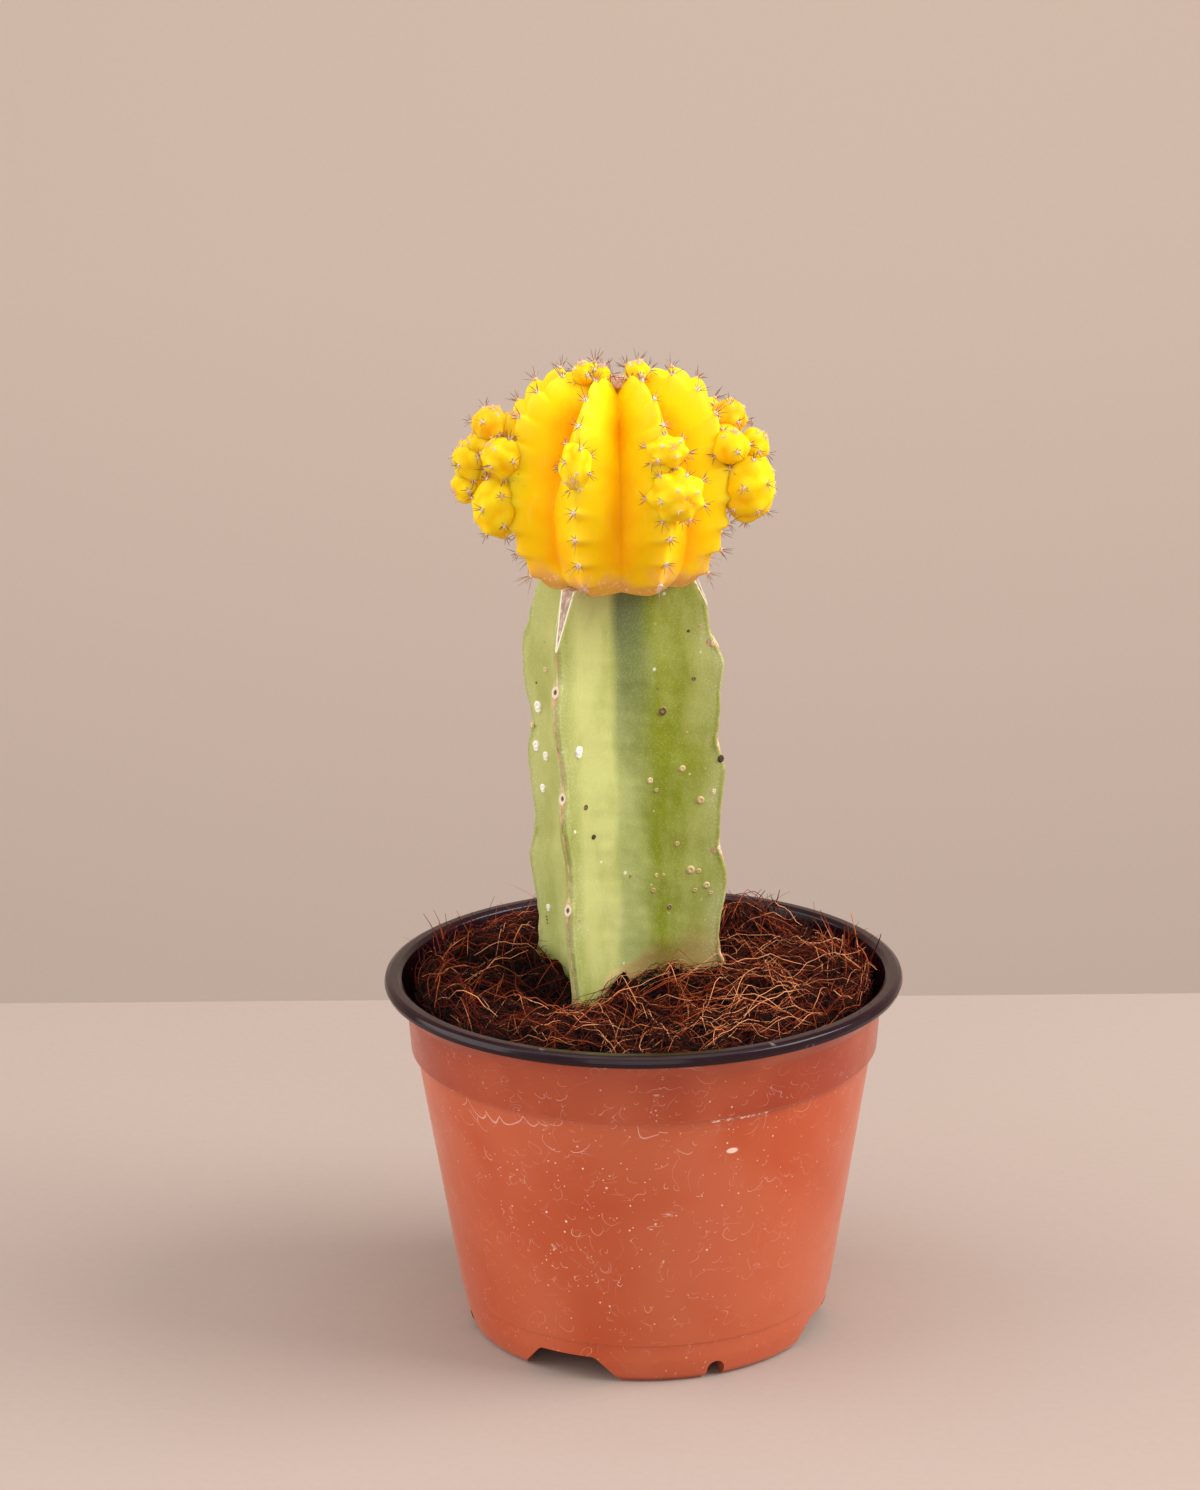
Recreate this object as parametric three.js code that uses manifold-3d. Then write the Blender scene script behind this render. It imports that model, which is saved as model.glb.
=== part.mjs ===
// Potted moon cactus: a yellow ribbed globe cactus with offsets, grafted on a three-winged green
// stem that stands in coconut fibre in a plastic nursery pot.
// Millimetres, +Z up. The origin is the centre of the pot's base, and -Y is the front.

import * as THREE from 'three';
import { mergeVertices } from 'three/addons/utils/BufferGeometryUtils.js';
import Module from 'manifold-3d';

const wasm = await Module();
wasm.setup();

// Pot
const POT_HEIGHT = 85.4;
const RIM_RADIUS = 60;
const RIM_INNER_RADIUS = 56;
const RIM_DEPTH = 2.8;
const NECK_RADIUS = 57.4;
const COLLAR_TOP = { radius: 54.9, z: 78.6 };
const COLLAR_BOTTOM = { radius: 54.1, z: 67.8 };
const WALL_TOP = { radius: 52.75, z: 67.0 };
const FOOT_RING = { radius: 43.5, z: 9.9 };
const FOOT_CURVE = { radius: 42.7, z: 5.4 };
const FOOT_RADIUS = 40.4;
const FOOT_INNER_RADIUS = 38.2;
const WALL = 0.9;
const PANEL_UNDERSIDE = 6.6;
const PANEL_THICKNESS = 1.0;
const RIM_ROUND = 0.9;
const FOOT_ROUND = 1.3;
const FOOT_DRAFT = 0.6;
const POT_SIDES = 48;
const WIDE_NOTCHES = [-25.5, 72, 165, -120];
const WIDE_NOTCH = { bottom: 24.6, top: 12.8, height: 6.1, round: 0.6 };
const SMALL_NOTCHES = [22, 118, -158, -76];
const SMALL_NOTCH = { width: 4.2, height: 4.2, leadIn: 1.4 };
const DRAIN_HOLE = { radius: 3.2, circle: 30, sides: 12 };

// Coir
const COIR_GAP = 0.35;
const COIR_LEVEL = 80.2;
const COIR_SIDES = 42;
const COIR_RINGS = 11;
const COIR_EDGE = { radius: 53.3, drop: 1.2, highest: 82, shoulder: 1.5 };
const FIBRE_RADIUS = 0.42;
const FIBRE_COUNT = 36;
const FIBRE_STEPS = 4;
const TUFT_COUNT = 15;

// Rootstock
const STEM_CENTRE = new THREE.Vector2(-5.4, 3.0);
const STEM_BOTTOM = 48;
const STEM_CLEARANCE = 0.35;
const GRAFT_Z = 178.6;
const STEM_STRAIGHT_TO = 80;
const STEM_LEVEL_STEP = 4.2;
const AREOLE_PITCH = 25.2;
const VALLEY_RADIUS = 8.6;
const MARGIN_HALF_WIDTH = 1.1;
const MARGIN_ROUND = 0.7;
const BELLY = { inward: 9, halfWidth: 2.4 };
const VALLEY_EASE = 4.5;
const SHOULDER_Z = 157;
const WINGS = [
  { azimuth: -26.6, turn: -6.6, foot: 22.9, head: 25.1, shoulder: 0.8,
    wave: 0.7, areole: 155.0, cut: 5.6, cutFrom: 165.5, cutTurn: 0 },
  { azimuth: 90.0, turn: 0, foot: 24.2, head: 23.6, shoulder: 3.6,
    wave: 0.8, areole: 158.5, cut: 3.4, cutFrom: 169.5, cutTurn: -12 },
  { azimuth: -123.0, turn: 0, foot: 22.6, head: 24.9, shoulder: 1.8,
    wave: 0.8, areole: 161.0, cut: 4.6, cutFrom: 166.0, cutTurn: 0 },
];

// Scion
const SCION_CENTRE = new THREE.Vector2(-4.7, 1.0);
const RIBS = [
  { azimuth: -157, reach: 1.0 },
  { azimuth: -112, reach: 1.05 },
  { azimuth: -66, reach: 1.02 },
  { azimuth: -21.5, reach: 0.98 },
  { azimuth: 26, reach: 1.0 },
  { azimuth: 70, reach: 1.01 },
  { azimuth: 113, reach: 1.04 },
  { azimuth: 158, reach: 1.0 },
];
const RIB_STEPS = 6;
const GROOVE_DEPTHS = [
  { place: 0, depth: 1.8 },
  { place: 0.15, depth: 6.0 },
  { place: 0.3, depth: 9.0 },
  { place: 0.47, depth: 8.2 },
  { place: 0.62, depth: 5.4 },
  { place: 0.76, depth: 4.0 },
  { place: 0.88, depth: 2.4 },
  { place: 1, depth: 1.4 },
];
const GROOVE_SHARPNESS = 1.2;
const TUBERCLE_HEIGHT = 1.6;
const TUBERCLE_FADE = { apex: 0.17, foot: 0.11 };
const AREOLE_FIRST = 5.5;
const AREOLE_STEP = 6.1;
const SPINE_RADIUS = 0.38;
const SPINE_LENGTH = 3.2;
const SPINE_SUNK = 1.2;
const SPINE_SPREAD = 0.85;

const UP = new THREE.Vector3(0, 0, 1);

// A repeatable random number from 0 to 1
function seededRandom(seed) {
  let state = seed >>> 0;
  return () => {
    state = (state + 0x6d2b79f5) >>> 0;
    let t = Math.imul(state ^ (state >>> 15), state | 1);
    t ^= t + Math.imul(t ^ (t >>> 7), t | 61);
    return ((t ^ (t >>> 14)) >>> 0) / 4294967296;
  };
}

// Horizontal direction for an azimuth in degrees, counted from the front towards +X
function heading(azimuth) {
  const a = THREE.MathUtils.degToRad(azimuth);
  return new THREE.Vector2(Math.sin(a), -Math.cos(a));
}

// A closed geometry as a solid that can be joined and cut
function solidOf(geometry) {
  const bare = geometry.clone();
  bare.deleteAttribute('normal');
  bare.deleteAttribute('uv');
  const merged = mergeVertices(bare, 1e-4);
  return new wasm.Manifold(new wasm.Mesh({
    numProp: 3,
    vertProperties: new Float32Array(merged.attributes.position.array),
    triVerts: new Uint32Array(merged.index.array),
  }));
}

// A solid back as a geometry with its normals
function geometryOf(solid) {
  const mesh = solid.getMesh();
  const geometry = new THREE.BufferGeometry();
  geometry.setAttribute('position', new THREE.BufferAttribute(mesh.vertProperties.slice(), 3));
  geometry.setIndex(new THREE.BufferAttribute(mesh.triVerts.slice(), 1));
  geometry.computeVertexNormals();
  return geometry;
}

function meshOf(name, solid, color, roughness) {
  const material = new THREE.MeshStandardMaterial({ color, roughness, metalness: 0 });
  const mesh = new THREE.Mesh(geometryOf(solid), material);
  mesh.name = name;
  return mesh;
}

// A closed skin over rings of equal point counts, each ring anticlockwise from above,
// from the lowest to the highest, with a pole point below the first and above the last
function skin(rings, lowPole, highPole) {
  const count = rings[0].length;
  const points = [lowPole, ...rings.flat(), highPole];
  const last = points.length - 1;
  const faces = [];
  for (let i = 0; i < count; i += 1) {
    const j = (i + 1) % count;
    faces.push(0, 1 + j, 1 + i);
    for (let row = 0; row < rings.length - 1; row += 1) {
      const a = 1 + row * count;
      const b = a + count;
      faces.push(a + i, a + j, b + j, a + i, b + j, b + i);
    }
    const top = 1 + (rings.length - 1) * count;
    faces.push(last, top + i, top + j);
  }
  const geometry = new THREE.BufferGeometry();
  const flat = new Float32Array(points.flatMap((p) => [p.x, p.y, p.z]));
  geometry.setAttribute('position', new THREE.BufferAttribute(flat, 3));
  geometry.setIndex(faces);
  return geometry;
}

// Pot: a turned profile from the panel's underside round the outside, over the rim and inside
function potProfile() {
  const rimBase = POT_HEIGHT - RIM_DEPTH;
  const inside = (spot) => new THREE.Vector2(spot.radius - WALL, spot.z);
  const outside = (spot) => new THREE.Vector2(spot.radius, spot.z);
  const floor = PANEL_UNDERSIDE + PANEL_THICKNESS;
  return [
    new THREE.Vector2(0, PANEL_UNDERSIDE),
    new THREE.Vector2(FOOT_INNER_RADIUS - FOOT_DRAFT, PANEL_UNDERSIDE),
    new THREE.Vector2(FOOT_INNER_RADIUS, 0),
    new THREE.Vector2(FOOT_RADIUS, 0),
    new THREE.Vector2(FOOT_RADIUS + FOOT_ROUND, FOOT_ROUND),
    outside(FOOT_CURVE),
    outside(FOOT_RING),
    outside(WALL_TOP),
    outside(COLLAR_BOTTOM),
    outside(COLLAR_TOP),
    new THREE.Vector2(NECK_RADIUS, rimBase),
    new THREE.Vector2(RIM_RADIUS - RIM_ROUND / 2, rimBase),
    new THREE.Vector2(RIM_RADIUS, rimBase + RIM_ROUND / 2),
    new THREE.Vector2(RIM_RADIUS, POT_HEIGHT - RIM_ROUND),
    new THREE.Vector2(RIM_RADIUS - RIM_ROUND, POT_HEIGHT - RIM_ROUND / 8),
    new THREE.Vector2(RIM_RADIUS - 2 * RIM_ROUND, POT_HEIGHT),
    new THREE.Vector2(RIM_INNER_RADIUS + RIM_ROUND / 2, POT_HEIGHT),
    new THREE.Vector2(RIM_INNER_RADIUS - RIM_ROUND / 3, POT_HEIGHT - RIM_ROUND),
    inside(COLLAR_TOP),
    inside(COLLAR_BOTTOM),
    inside(WALL_TOP),
    inside(FOOT_RING),
    new THREE.Vector2(FOOT_RING.radius - WALL - FOOT_DRAFT, floor),
    new THREE.Vector2(0, floor),
  ];
}

// A prism through the foot ring at one azimuth, with the outline of a notch
function notchCutter(outline, azimuth) {
  const start = FOOT_INNER_RADIUS - 8;
  const depth = FOOT_RING.radius + 3 - start;
  const prism = new THREE.ExtrudeGeometry(outline, { depth, bevelEnabled: false, curveSegments: 4 });
  prism.rotateX(Math.PI / 2);
  prism.translate(0, -start, 0);
  prism.rotateZ(THREE.MathUtils.degToRad(azimuth));
  return solidOf(prism);
}

function wideNotchOutline() {
  const low = WIDE_NOTCH.bottom / 2;
  const high = WIDE_NOTCH.top / 2;
  const { height, round } = WIDE_NOTCH;
  const outline = new THREE.Shape();
  outline.moveTo(-low, -1);
  outline.lineTo(low, -1);
  outline.lineTo(low - round, 1.5 * round);
  outline.lineTo(high + 1.6 * round, height - 0.8 * round);
  outline.lineTo(high, height);
  outline.lineTo(-high, height);
  outline.lineTo(-high - 1.6 * round, height - 0.8 * round);
  outline.lineTo(-low + round, 1.5 * round);
  return outline;
}

function smallNotchOutline() {
  const half = SMALL_NOTCH.width / 2;
  const outline = new THREE.Shape();
  outline.moveTo(-half - SMALL_NOTCH.leadIn, -1);
  outline.lineTo(half, -1);
  outline.absarc(0, SMALL_NOTCH.height - half, half, 0, Math.PI, false);
  outline.lineTo(-half, SMALL_NOTCH.leadIn);
  return outline;
}

function buildPot() {
  let pot = solidOf(new THREE.LatheGeometry(potProfile(), POT_SIDES).rotateX(Math.PI / 2));
  for (const azimuth of WIDE_NOTCHES) {
    pot = pot.subtract(notchCutter(wideNotchOutline(), azimuth));
  }
  for (const azimuth of SMALL_NOTCHES) {
    pot = pot.subtract(notchCutter(smallNotchOutline(), azimuth));
  }
  for (const azimuth of [...WIDE_NOTCHES, ...SMALL_NOTCHES]) {
    const spot = heading(azimuth).multiplyScalar(DRAIN_HOLE.circle);
    const { radius, sides } = DRAIN_HOLE;
    const drill = new THREE.CylinderGeometry(radius, radius, 6 * PANEL_THICKNESS, sides);
    drill.rotateX(Math.PI / 2);
    drill.translate(spot.x, spot.y, PANEL_UNDERSIDE + PANEL_THICKNESS / 2);
    pot = pot.subtract(solidOf(drill));
  }
  return pot;
}

// Rootstock: how far up the stem a height lies, 0 in the coir and 1 at its shoulder
function stemRise(z) {
  return THREE.MathUtils.clamp((z - STEM_STRAIGHT_TO) / (SHOULDER_Z - STEM_STRAIGHT_TO), 0, 1);
}

function wingAzimuth(wing, z) {
  return wing.azimuth + wing.turn * stemRise(z);
}

// The tip distance of a wing at a height, wavy between its areoles
function wingReach(wing, z) {
  const shoulder = wing.shoulder * Math.max(0, (z - SHOULDER_Z) / (GRAFT_Z - SHOULDER_Z));
  const even = THREE.MathUtils.lerp(wing.foot, wing.head, stemRise(z)) - shoulder;
  const phase = (2 * Math.PI * (Math.max(z, STEM_STRAIGHT_TO) - wing.areole + 3)) / AREOLE_PITCH;
  return even + wing.wave * Math.cos(phase);
}

// One cross-section of the stem, anticlockwise, grown outwards by a clearance
function stemSection(z, clearance) {
  const wings = [...WINGS].sort((a, b) => a.azimuth - b.azimuth);
  const outline = [];
  wings.forEach((wing, k) => {
    const next = wings[(k + 1) % wings.length];
    const span = (wingAzimuth(next, z) - wingAzimuth(wing, z) + 360) % 360;
    const valleyHeading = heading(wingAzimuth(wing, z) + span / 2);
    const valley = STEM_CENTRE.clone().addScaledVector(valleyHeading, VALLEY_RADIUS + clearance);
    const along = new THREE.Vector2(-valleyHeading.y, valleyHeading.x);
    const flank = (blade, side) => {
      const out = heading(wingAzimuth(blade, z));
      const across = new THREE.Vector2(-out.y, out.x).multiplyScalar(side);
      const reach = wingReach(blade, z) + clearance;
      const edge = STEM_CENTRE.clone().addScaledVector(out, reach - MARGIN_ROUND)
        .addScaledVector(across, MARGIN_HALF_WIDTH + clearance);
      const belly = STEM_CENTRE.clone().addScaledVector(out, reach - BELLY.inward)
        .addScaledVector(across, BELLY.halfWidth + clearance);
      const ease = valley.clone().addScaledVector(along, -side * VALLEY_EASE);
      return new THREE.CubicBezierCurve(edge, belly, ease, valley).getPoints(4);
    };
    const out = heading(wingAzimuth(wing, z));
    outline.push(STEM_CENTRE.clone().addScaledVector(out, wingReach(wing, z) + clearance));
    outline.push(...flank(wing, 1));
    outline.push(...flank(next, -1).reverse().slice(1));
  });
  return outline;
}

function stemLoft(zLow, zHigh, clearance) {
  const levels = [zLow];
  for (let z = STEM_STRAIGHT_TO; z < zHigh - 2; z += STEM_LEVEL_STEP) {
    levels.push(z);
  }
  levels.push(zHigh);
  const rings = levels.map((z) => stemSection(z, clearance)
    .map((p) => new THREE.Vector3(p.x, p.y, z)));
  const pole = (z) => new THREE.Vector3(STEM_CENTRE.x, STEM_CENTRE.y, z);
  return solidOf(skin(rings, pole(zLow), pole(zHigh)));
}

// The slanted cut that takes the top of a wing's margin off
function marginCut(wing) {
  const block = new THREE.BoxGeometry(20, 20, 60);
  const high = wingReach(wing, GRAFT_Z) - wing.cut;
  const slope = Math.atan2(wingReach(wing, wing.cutFrom) - high, GRAFT_Z - wing.cutFrom);
  block.translate(0, -10, 0);
  block.rotateX(-slope);
  block.translate(0, -high, GRAFT_Z);
  block.rotateZ(THREE.MathUtils.degToRad(wingAzimuth(wing, GRAFT_Z) + wing.cutTurn));
  block.translate(STEM_CENTRE.x, STEM_CENTRE.y, 0);
  return solidOf(block);
}

function buildRootstock() {
  let stem = stemLoft(STEM_BOTTOM, GRAFT_Z, 0);
  for (const wing of WINGS) {
    stem = stem.subtract(marginCut(wing));
  }
  return stem;
}

// Spine: a slim three-sided needle, its root sunk in what it grows from
function spine(root, direction, length, radius = SPINE_RADIUS) {
  const needle = new THREE.ConeGeometry(radius, length + SPINE_SUNK, 3);
  needle.translate(0, (length + SPINE_SUNK) / 2 - SPINE_SUNK, 0);
  const turn = new THREE.Quaternion().setFromUnitVectors(new THREE.Vector3(0, 1, 0), direction);
  needle.applyQuaternion(turn);
  needle.translate(root.x, root.y, root.z);
  return solidOf(needle);
}

// Spines of one areole, fanned round its outward direction
function spineFan(areole, count, random, length, droop) {
  const side = new THREE.Vector3().crossVectors(areole.out, UP);
  if (side.lengthSq() < 0.01) side.set(1, 0, 0);
  side.normalize();
  const over = new THREE.Vector3().crossVectors(side, areole.out).normalize();
  const needles = [];
  for (let i = 0; i < count; i += 1) {
    const turn = 2 * Math.PI * ((i + 0.5 * random()) / count + random() * 0.15);
    const lean = 0.55 + 0.45 * random();
    const direction = areole.out.clone()
      .addScaledVector(side, lean * Math.cos(turn))
      .addScaledVector(over, lean * Math.sin(turn))
      .addScaledVector(UP, -droop)
      .normalize();
    const root = areole.at.clone().addScaledVector(areole.out, -0.35)
      .addScaledVector(side, SPINE_SPREAD * Math.cos(turn))
      .addScaledVector(over, SPINE_SPREAD * Math.sin(turn));
    needles.push(spine(root, direction, length * (0.8 + 0.4 * random())));
  }
  return needles;
}

// Scion: the crest of a rib from the sunken apex out and down to the graft
const crest = new THREE.SplineCurve([
  new THREE.Vector2(1.2, 222.6),
  new THREE.Vector2(5.5, 224.0),
  new THREE.Vector2(11.0, 224.2),
  new THREE.Vector2(16.8, 222.0),
  new THREE.Vector2(21.8, 216.4),
  new THREE.Vector2(24.3, 208.4),
  new THREE.Vector2(25.2, 199.0),
  new THREE.Vector2(24.1, 190.5),
  new THREE.Vector2(21.3, 183.6),
  new THREE.Vector2(18.9, 180.2),
  new THREE.Vector2(16.6, GRAFT_Z),
]);
const CREST_LENGTH = crest.getLength();

// How far an areole stands out at a distance along the crest: a peak at each areole
function tubercle(distance) {
  const turn = (distance - AREOLE_FIRST) / AREOLE_STEP;
  return 1 - Math.abs(Math.sin(Math.PI * turn));
}

// Depth of the grooves at a place along the crest: deep round the shoulder, shallow at the foot
function grooveDepth(fraction) {
  const k = Math.max(1, GROOVE_DEPTHS.findIndex(({ place }) => place >= fraction));
  const [above, below] = [GROOVE_DEPTHS[k - 1], GROOVE_DEPTHS[k]];
  return THREE.MathUtils.mapLinear(fraction, above.place, below.place, above.depth, below.depth);
}

// A point of the scion's surface: the distance along the crest and the place across the rib,
// 0 on the crest and 1 in the groove
function scionPoint(fraction, across, azimuth, reach) {
  const distance = fraction * CREST_LENGTH;
  const spot = crest.getPointAt(fraction);
  const run = crest.getTangentAt(fraction);
  const normal = new THREE.Vector2(-run.y, run.x);
  const fade = Math.min(1, fraction / TUBERCLE_FADE.apex, (1 - fraction) / TUBERCLE_FADE.foot);
  const groove = -grooveDepth(fraction) * across ** GROOVE_SHARPNESS;
  const bump = TUBERCLE_HEIGHT * tubercle(distance) * (1 - across) ** 2 * fade;
  const lift = fraction === 1 ? 0 : groove + bump;
  spot.addScaledVector(normal, lift);
  const way = heading(azimuth);
  return new THREE.Vector3(
    SCION_CENTRE.x + way.x * spot.x * reach,
    SCION_CENTRE.y + way.y * spot.x * reach,
    Math.max(spot.y, GRAFT_Z),
  );
}

// The azimuths round the scion, RIB_STEPS to a rib, with the place across the rib of each
function scionSpokes() {
  return RIBS.flatMap((rib, k) => {
    const next = RIBS[(k + 1) % RIBS.length];
    const span = (next.azimuth - rib.azimuth + 360) % 360;
    return Array.from({ length: RIB_STEPS }, (_, i) => {
      const place = i / RIB_STEPS;
      return {
        azimuth: rib.azimuth + place * span,
        across: 1 - Math.abs(1 - 2 * place),
        reach: THREE.MathUtils.lerp(rib.reach, next.reach, place),
      };
    });
  });
}

function scionBody() {
  const spokes = scionSpokes();
  const distances = [CREST_LENGTH];
  for (let d = AREOLE_FIRST + 9 * AREOLE_STEP; d > 0; d -= AREOLE_STEP / 2) {
    distances.push(d);
  }
  const rings = distances.map((d) => spokes
    .map((spoke) => scionPoint(d / CREST_LENGTH, spoke.across, spoke.azimuth, spoke.reach)));
  const pole = (z) => new THREE.Vector3(SCION_CENTRE.x, SCION_CENTRE.y, z);
  return solidOf(skin(rings, pole(GRAFT_Z), pole(222.4)));
}

// The areoles down every crest, each with its place and outward direction
function scionAreoles() {
  const areoles = [];
  for (const { azimuth, reach } of RIBS) {
    for (let d = AREOLE_FIRST; d < CREST_LENGTH - 3; d += AREOLE_STEP) {
      const fraction = d / CREST_LENGTH;
      const run = crest.getTangentAt(fraction);
      const way = heading(azimuth);
      const out = new THREE.Vector3(-run.y * way.x, -run.y * way.y, run.x).normalize();
      areoles.push({ at: scionPoint(fraction, 0, azimuth, reach), out, fraction });
    }
  }
  return areoles;
}

// Offset: a small ribbed head on the scion, with a pointed tubercle under each areole.
// at and semi are its centre and half-sizes, axis is where its own apex points
function offset({ at, semi, axis, ribs, rows, point }) {
  const turn = new THREE.Quaternion().setFromUnitVectors(UP, axis.clone().normalize());
  const areoles = [];
  const rings = [];
  const surface = (polar, around, lift) => new THREE.Vector3(
    Math.sin(polar) * Math.cos(around),
    Math.sin(polar) * Math.sin(around),
    Math.cos(polar),
  ).applyQuaternion(turn).multiplyScalar(lift).multiply(semi).add(at);
  for (let row = rows - 1; row >= 1; row -= 1) {
    const polar = (Math.PI * row) / rows;
    rings.push(Array.from({ length: 2 * ribs }, (_, i) => {
      const around = (Math.PI * i) / ribs;
      const onRib = i % 2 === 0;
      const tipped = onRib && (row + i / 2) % 2 === 0 && row < rows - 1;
      const lift = (onRib ? 1 : 0.93) + (tipped ? point : 0);
      const spot = surface(polar, around, lift);
      if (tipped) {
        areoles.push({ at: spot, out: spot.clone().sub(at).divide(semi).normalize() });
      }
      return spot;
    }));
  }
  const body = solidOf(skin(rings, surface(Math.PI, 0, 1), surface(0, 0, 0.95)));
  return { body, areoles };
}

const vec = (x, y, z) => new THREE.Vector3(x, y, z);

// The offsets, in clumps: left, right, on the two front ribs and round the apex
const OFFSETS = [
  { at: vec(-33.1, -6.0, 215.4), semi: vec(3.3, 3.2, 3.3),
    axis: vec(-0.6, -0.3, 0.8), ribs: 5, rows: 6, point: 0.14 },
  { at: vec(-28.8, -5.5, 214.9), semi: vec(2.6, 2.6, 2.6),
    axis: vec(-0.2, -0.6, 0.8), ribs: 5, rows: 5, point: 0.08 },
  { at: vec(-30.5, -9.0, 208.2), semi: vec(4.1, 4.0, 4.2),
    axis: vec(-0.6, -0.6, 0.7), ribs: 6, rows: 7, point: 0.14 },
  { at: vec(-37.3, -5.0, 207.3), semi: vec(3.8, 3.6, 4.5),
    axis: vec(-0.9, -0.2, 0.3), ribs: 6, rows: 7, point: 0.15 },
  { at: vec(-38.6, -3.0, 201.6), semi: vec(3.4, 3.6, 4.0),
    axis: vec(-1, -0.1, -0.2), ribs: 5, rows: 6, point: 0.16 },
  { at: vec(-32.4, -7.0, 197.2), semi: vec(5.1, 5.0, 6.9),
    axis: vec(-0.8, -0.4, -0.4), ribs: 8, rows: 9, point: 0.1 },
  { at: vec(-28.5, -6.0, 203.5), semi: vec(5.0, 4.0, 6.0),
    axis: vec(-1, 0, 0), ribs: 4, rows: 5, point: 0 },
  { at: vec(20.9, 1.5, 214.2), semi: vec(3.7, 4.0, 3.9),
    axis: vec(0.6, 0.3, 0.7), ribs: 6, rows: 7, point: 0.14 },
  { at: vec(20.5, -7.5, 209.2), semi: vec(3.9, 3.8, 3.6),
    axis: vec(0.5, -0.6, 0.7), ribs: 6, rows: 7, point: 0.08 },
  { at: vec(26.2, -3.5, 208.9), semi: vec(3.1, 3.3, 3.2),
    axis: vec(0.7, -0.2, 0.6), ribs: 5, rows: 6, point: 0.16 },
  { at: vec(25.1, -5.0, 199.2), semi: vec(5.9, 5.4, 6.8),
    axis: vec(0.9, -0.3, 0.1), ribs: 8, rows: 9, point: 0.09 },
  { at: vec(18.8, -1.5, 207.0), semi: vec(5.6, 6.0, 7.5),
    axis: vec(1, 0, 0), ribs: 5, rows: 6, point: 0 },
  { at: vec(-13.8, -21.4, 208.6), semi: vec(3.5, 3.4, 5.2),
    axis: vec(-0.3, -1, 0.1), ribs: 6, rows: 6, point: 0.1 },
  { at: vec(6.3, -20.6, 211.6), semi: vec(4.3, 3.6, 3.3),
    axis: vec(0.3, -0.9, 0.4), ribs: 6, rows: 6, point: 0.2 },
  { at: vec(8.2, -21.6, 201.9), semi: vec(5.8, 4.6, 5.6),
    axis: vec(0.4, -1, 0), ribs: 7, rows: 7, point: 0.2 },
  { at: vec(-11.8, -2.4, 225.4), semi: vec(2.8, 2.8, 2.6),
    axis: vec(-0.3, -0.3, 1), ribs: 5, rows: 6, point: 0.16 },
  { at: vec(-8.2, -3.0, 225.3), semi: vec(2.1, 2.2, 2.2),
    axis: vec(0.1, -0.3, 1), ribs: 5, rows: 5, point: 0.16 },
  { at: vec(-0.2, -2.0, 225.5), semi: vec(2.9, 2.8, 2.7),
    axis: vec(0.1, -0.3, 1), ribs: 5, rows: 6, point: 0.16 },
];

// Whether a point lies inside the scion's body or inside an offset other than its own
function isBuried(point, own) {
  const across = Math.hypot(point.x - SCION_CENTRE.x, point.y - SCION_CENTRE.y);
  const inBody = across < 19 && point.z < 221;
  return inBody || OFFSETS.some((spec) => spec !== own
    && point.clone().sub(spec.at).divide(spec.semi).length() < 1.05);
}

function buildScion() {
  const random = seededRandom(41);
  let plant = scionBody();
  const bodies = [];
  const needles = [];
  for (const areole of scionAreoles()) {
    const low = areole.fraction > 0.9;
    needles.push(...spineFan(areole, 2, random, SPINE_LENGTH, low ? 0.35 : 0));
  }
  for (const spec of OFFSETS) {
    const head = offset(spec);
    bodies.push(head.body);
    for (const areole of head.areoles.filter((one) => !isBuried(one.at, spec))) {
      needles.push(...spineFan(areole, 1, random, SPINE_LENGTH * 0.75, 0));
    }
  }
  for (const body of bodies) {
    plant = plant.add(body);
  }
  for (const needle of needles) {
    plant = plant.add(needle);
  }
  return plant;
}

// Coir: soft heaps and hollows of the surface, as centre, radius and height
const HEAPS = [
  { x: 3, y: -10, r: 11, h: 5.2 },
  { x: 23, y: -9, r: 12, h: 4.4 },
  { x: 24, y: 30, r: 9, h: 8.0 },
  { x: 38, y: 8, r: 11, h: 3.0 },
  { x: -31, y: 16, r: 15, h: 5.0 },
  { x: -38, y: -14, r: 12, h: 2.2 },
  { x: -14, y: -38, r: 14, h: 1.6 },
  { x: 18, y: -40, r: 13, h: 1.8 },
  { x: -24, y: -12, r: 7, h: -5.0 },
  { x: -5, y: 26, r: 16, h: 2.6 },
  { x: -26, y: 38, r: 11, h: 2.4 },
  { x: 12, y: 46, r: 10, h: -2.0 },
  { x: 42, y: -22, r: 9, h: 1.6 },
];

function coirHeight(x, y) {
  let z = COIR_LEVEL;
  for (const heap of HEAPS) {
    const away = ((x - heap.x) ** 2 + (y - heap.y) ** 2) / heap.r ** 2;
    z += heap.h * Math.exp(-away);
  }
  z += 0.7 * Math.sin(x * 0.55 + 1.3) * Math.cos(y * 0.47 - 0.4);
  z += 0.5 * Math.sin(x * 0.93 - y * 0.71);
  return z;
}

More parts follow.
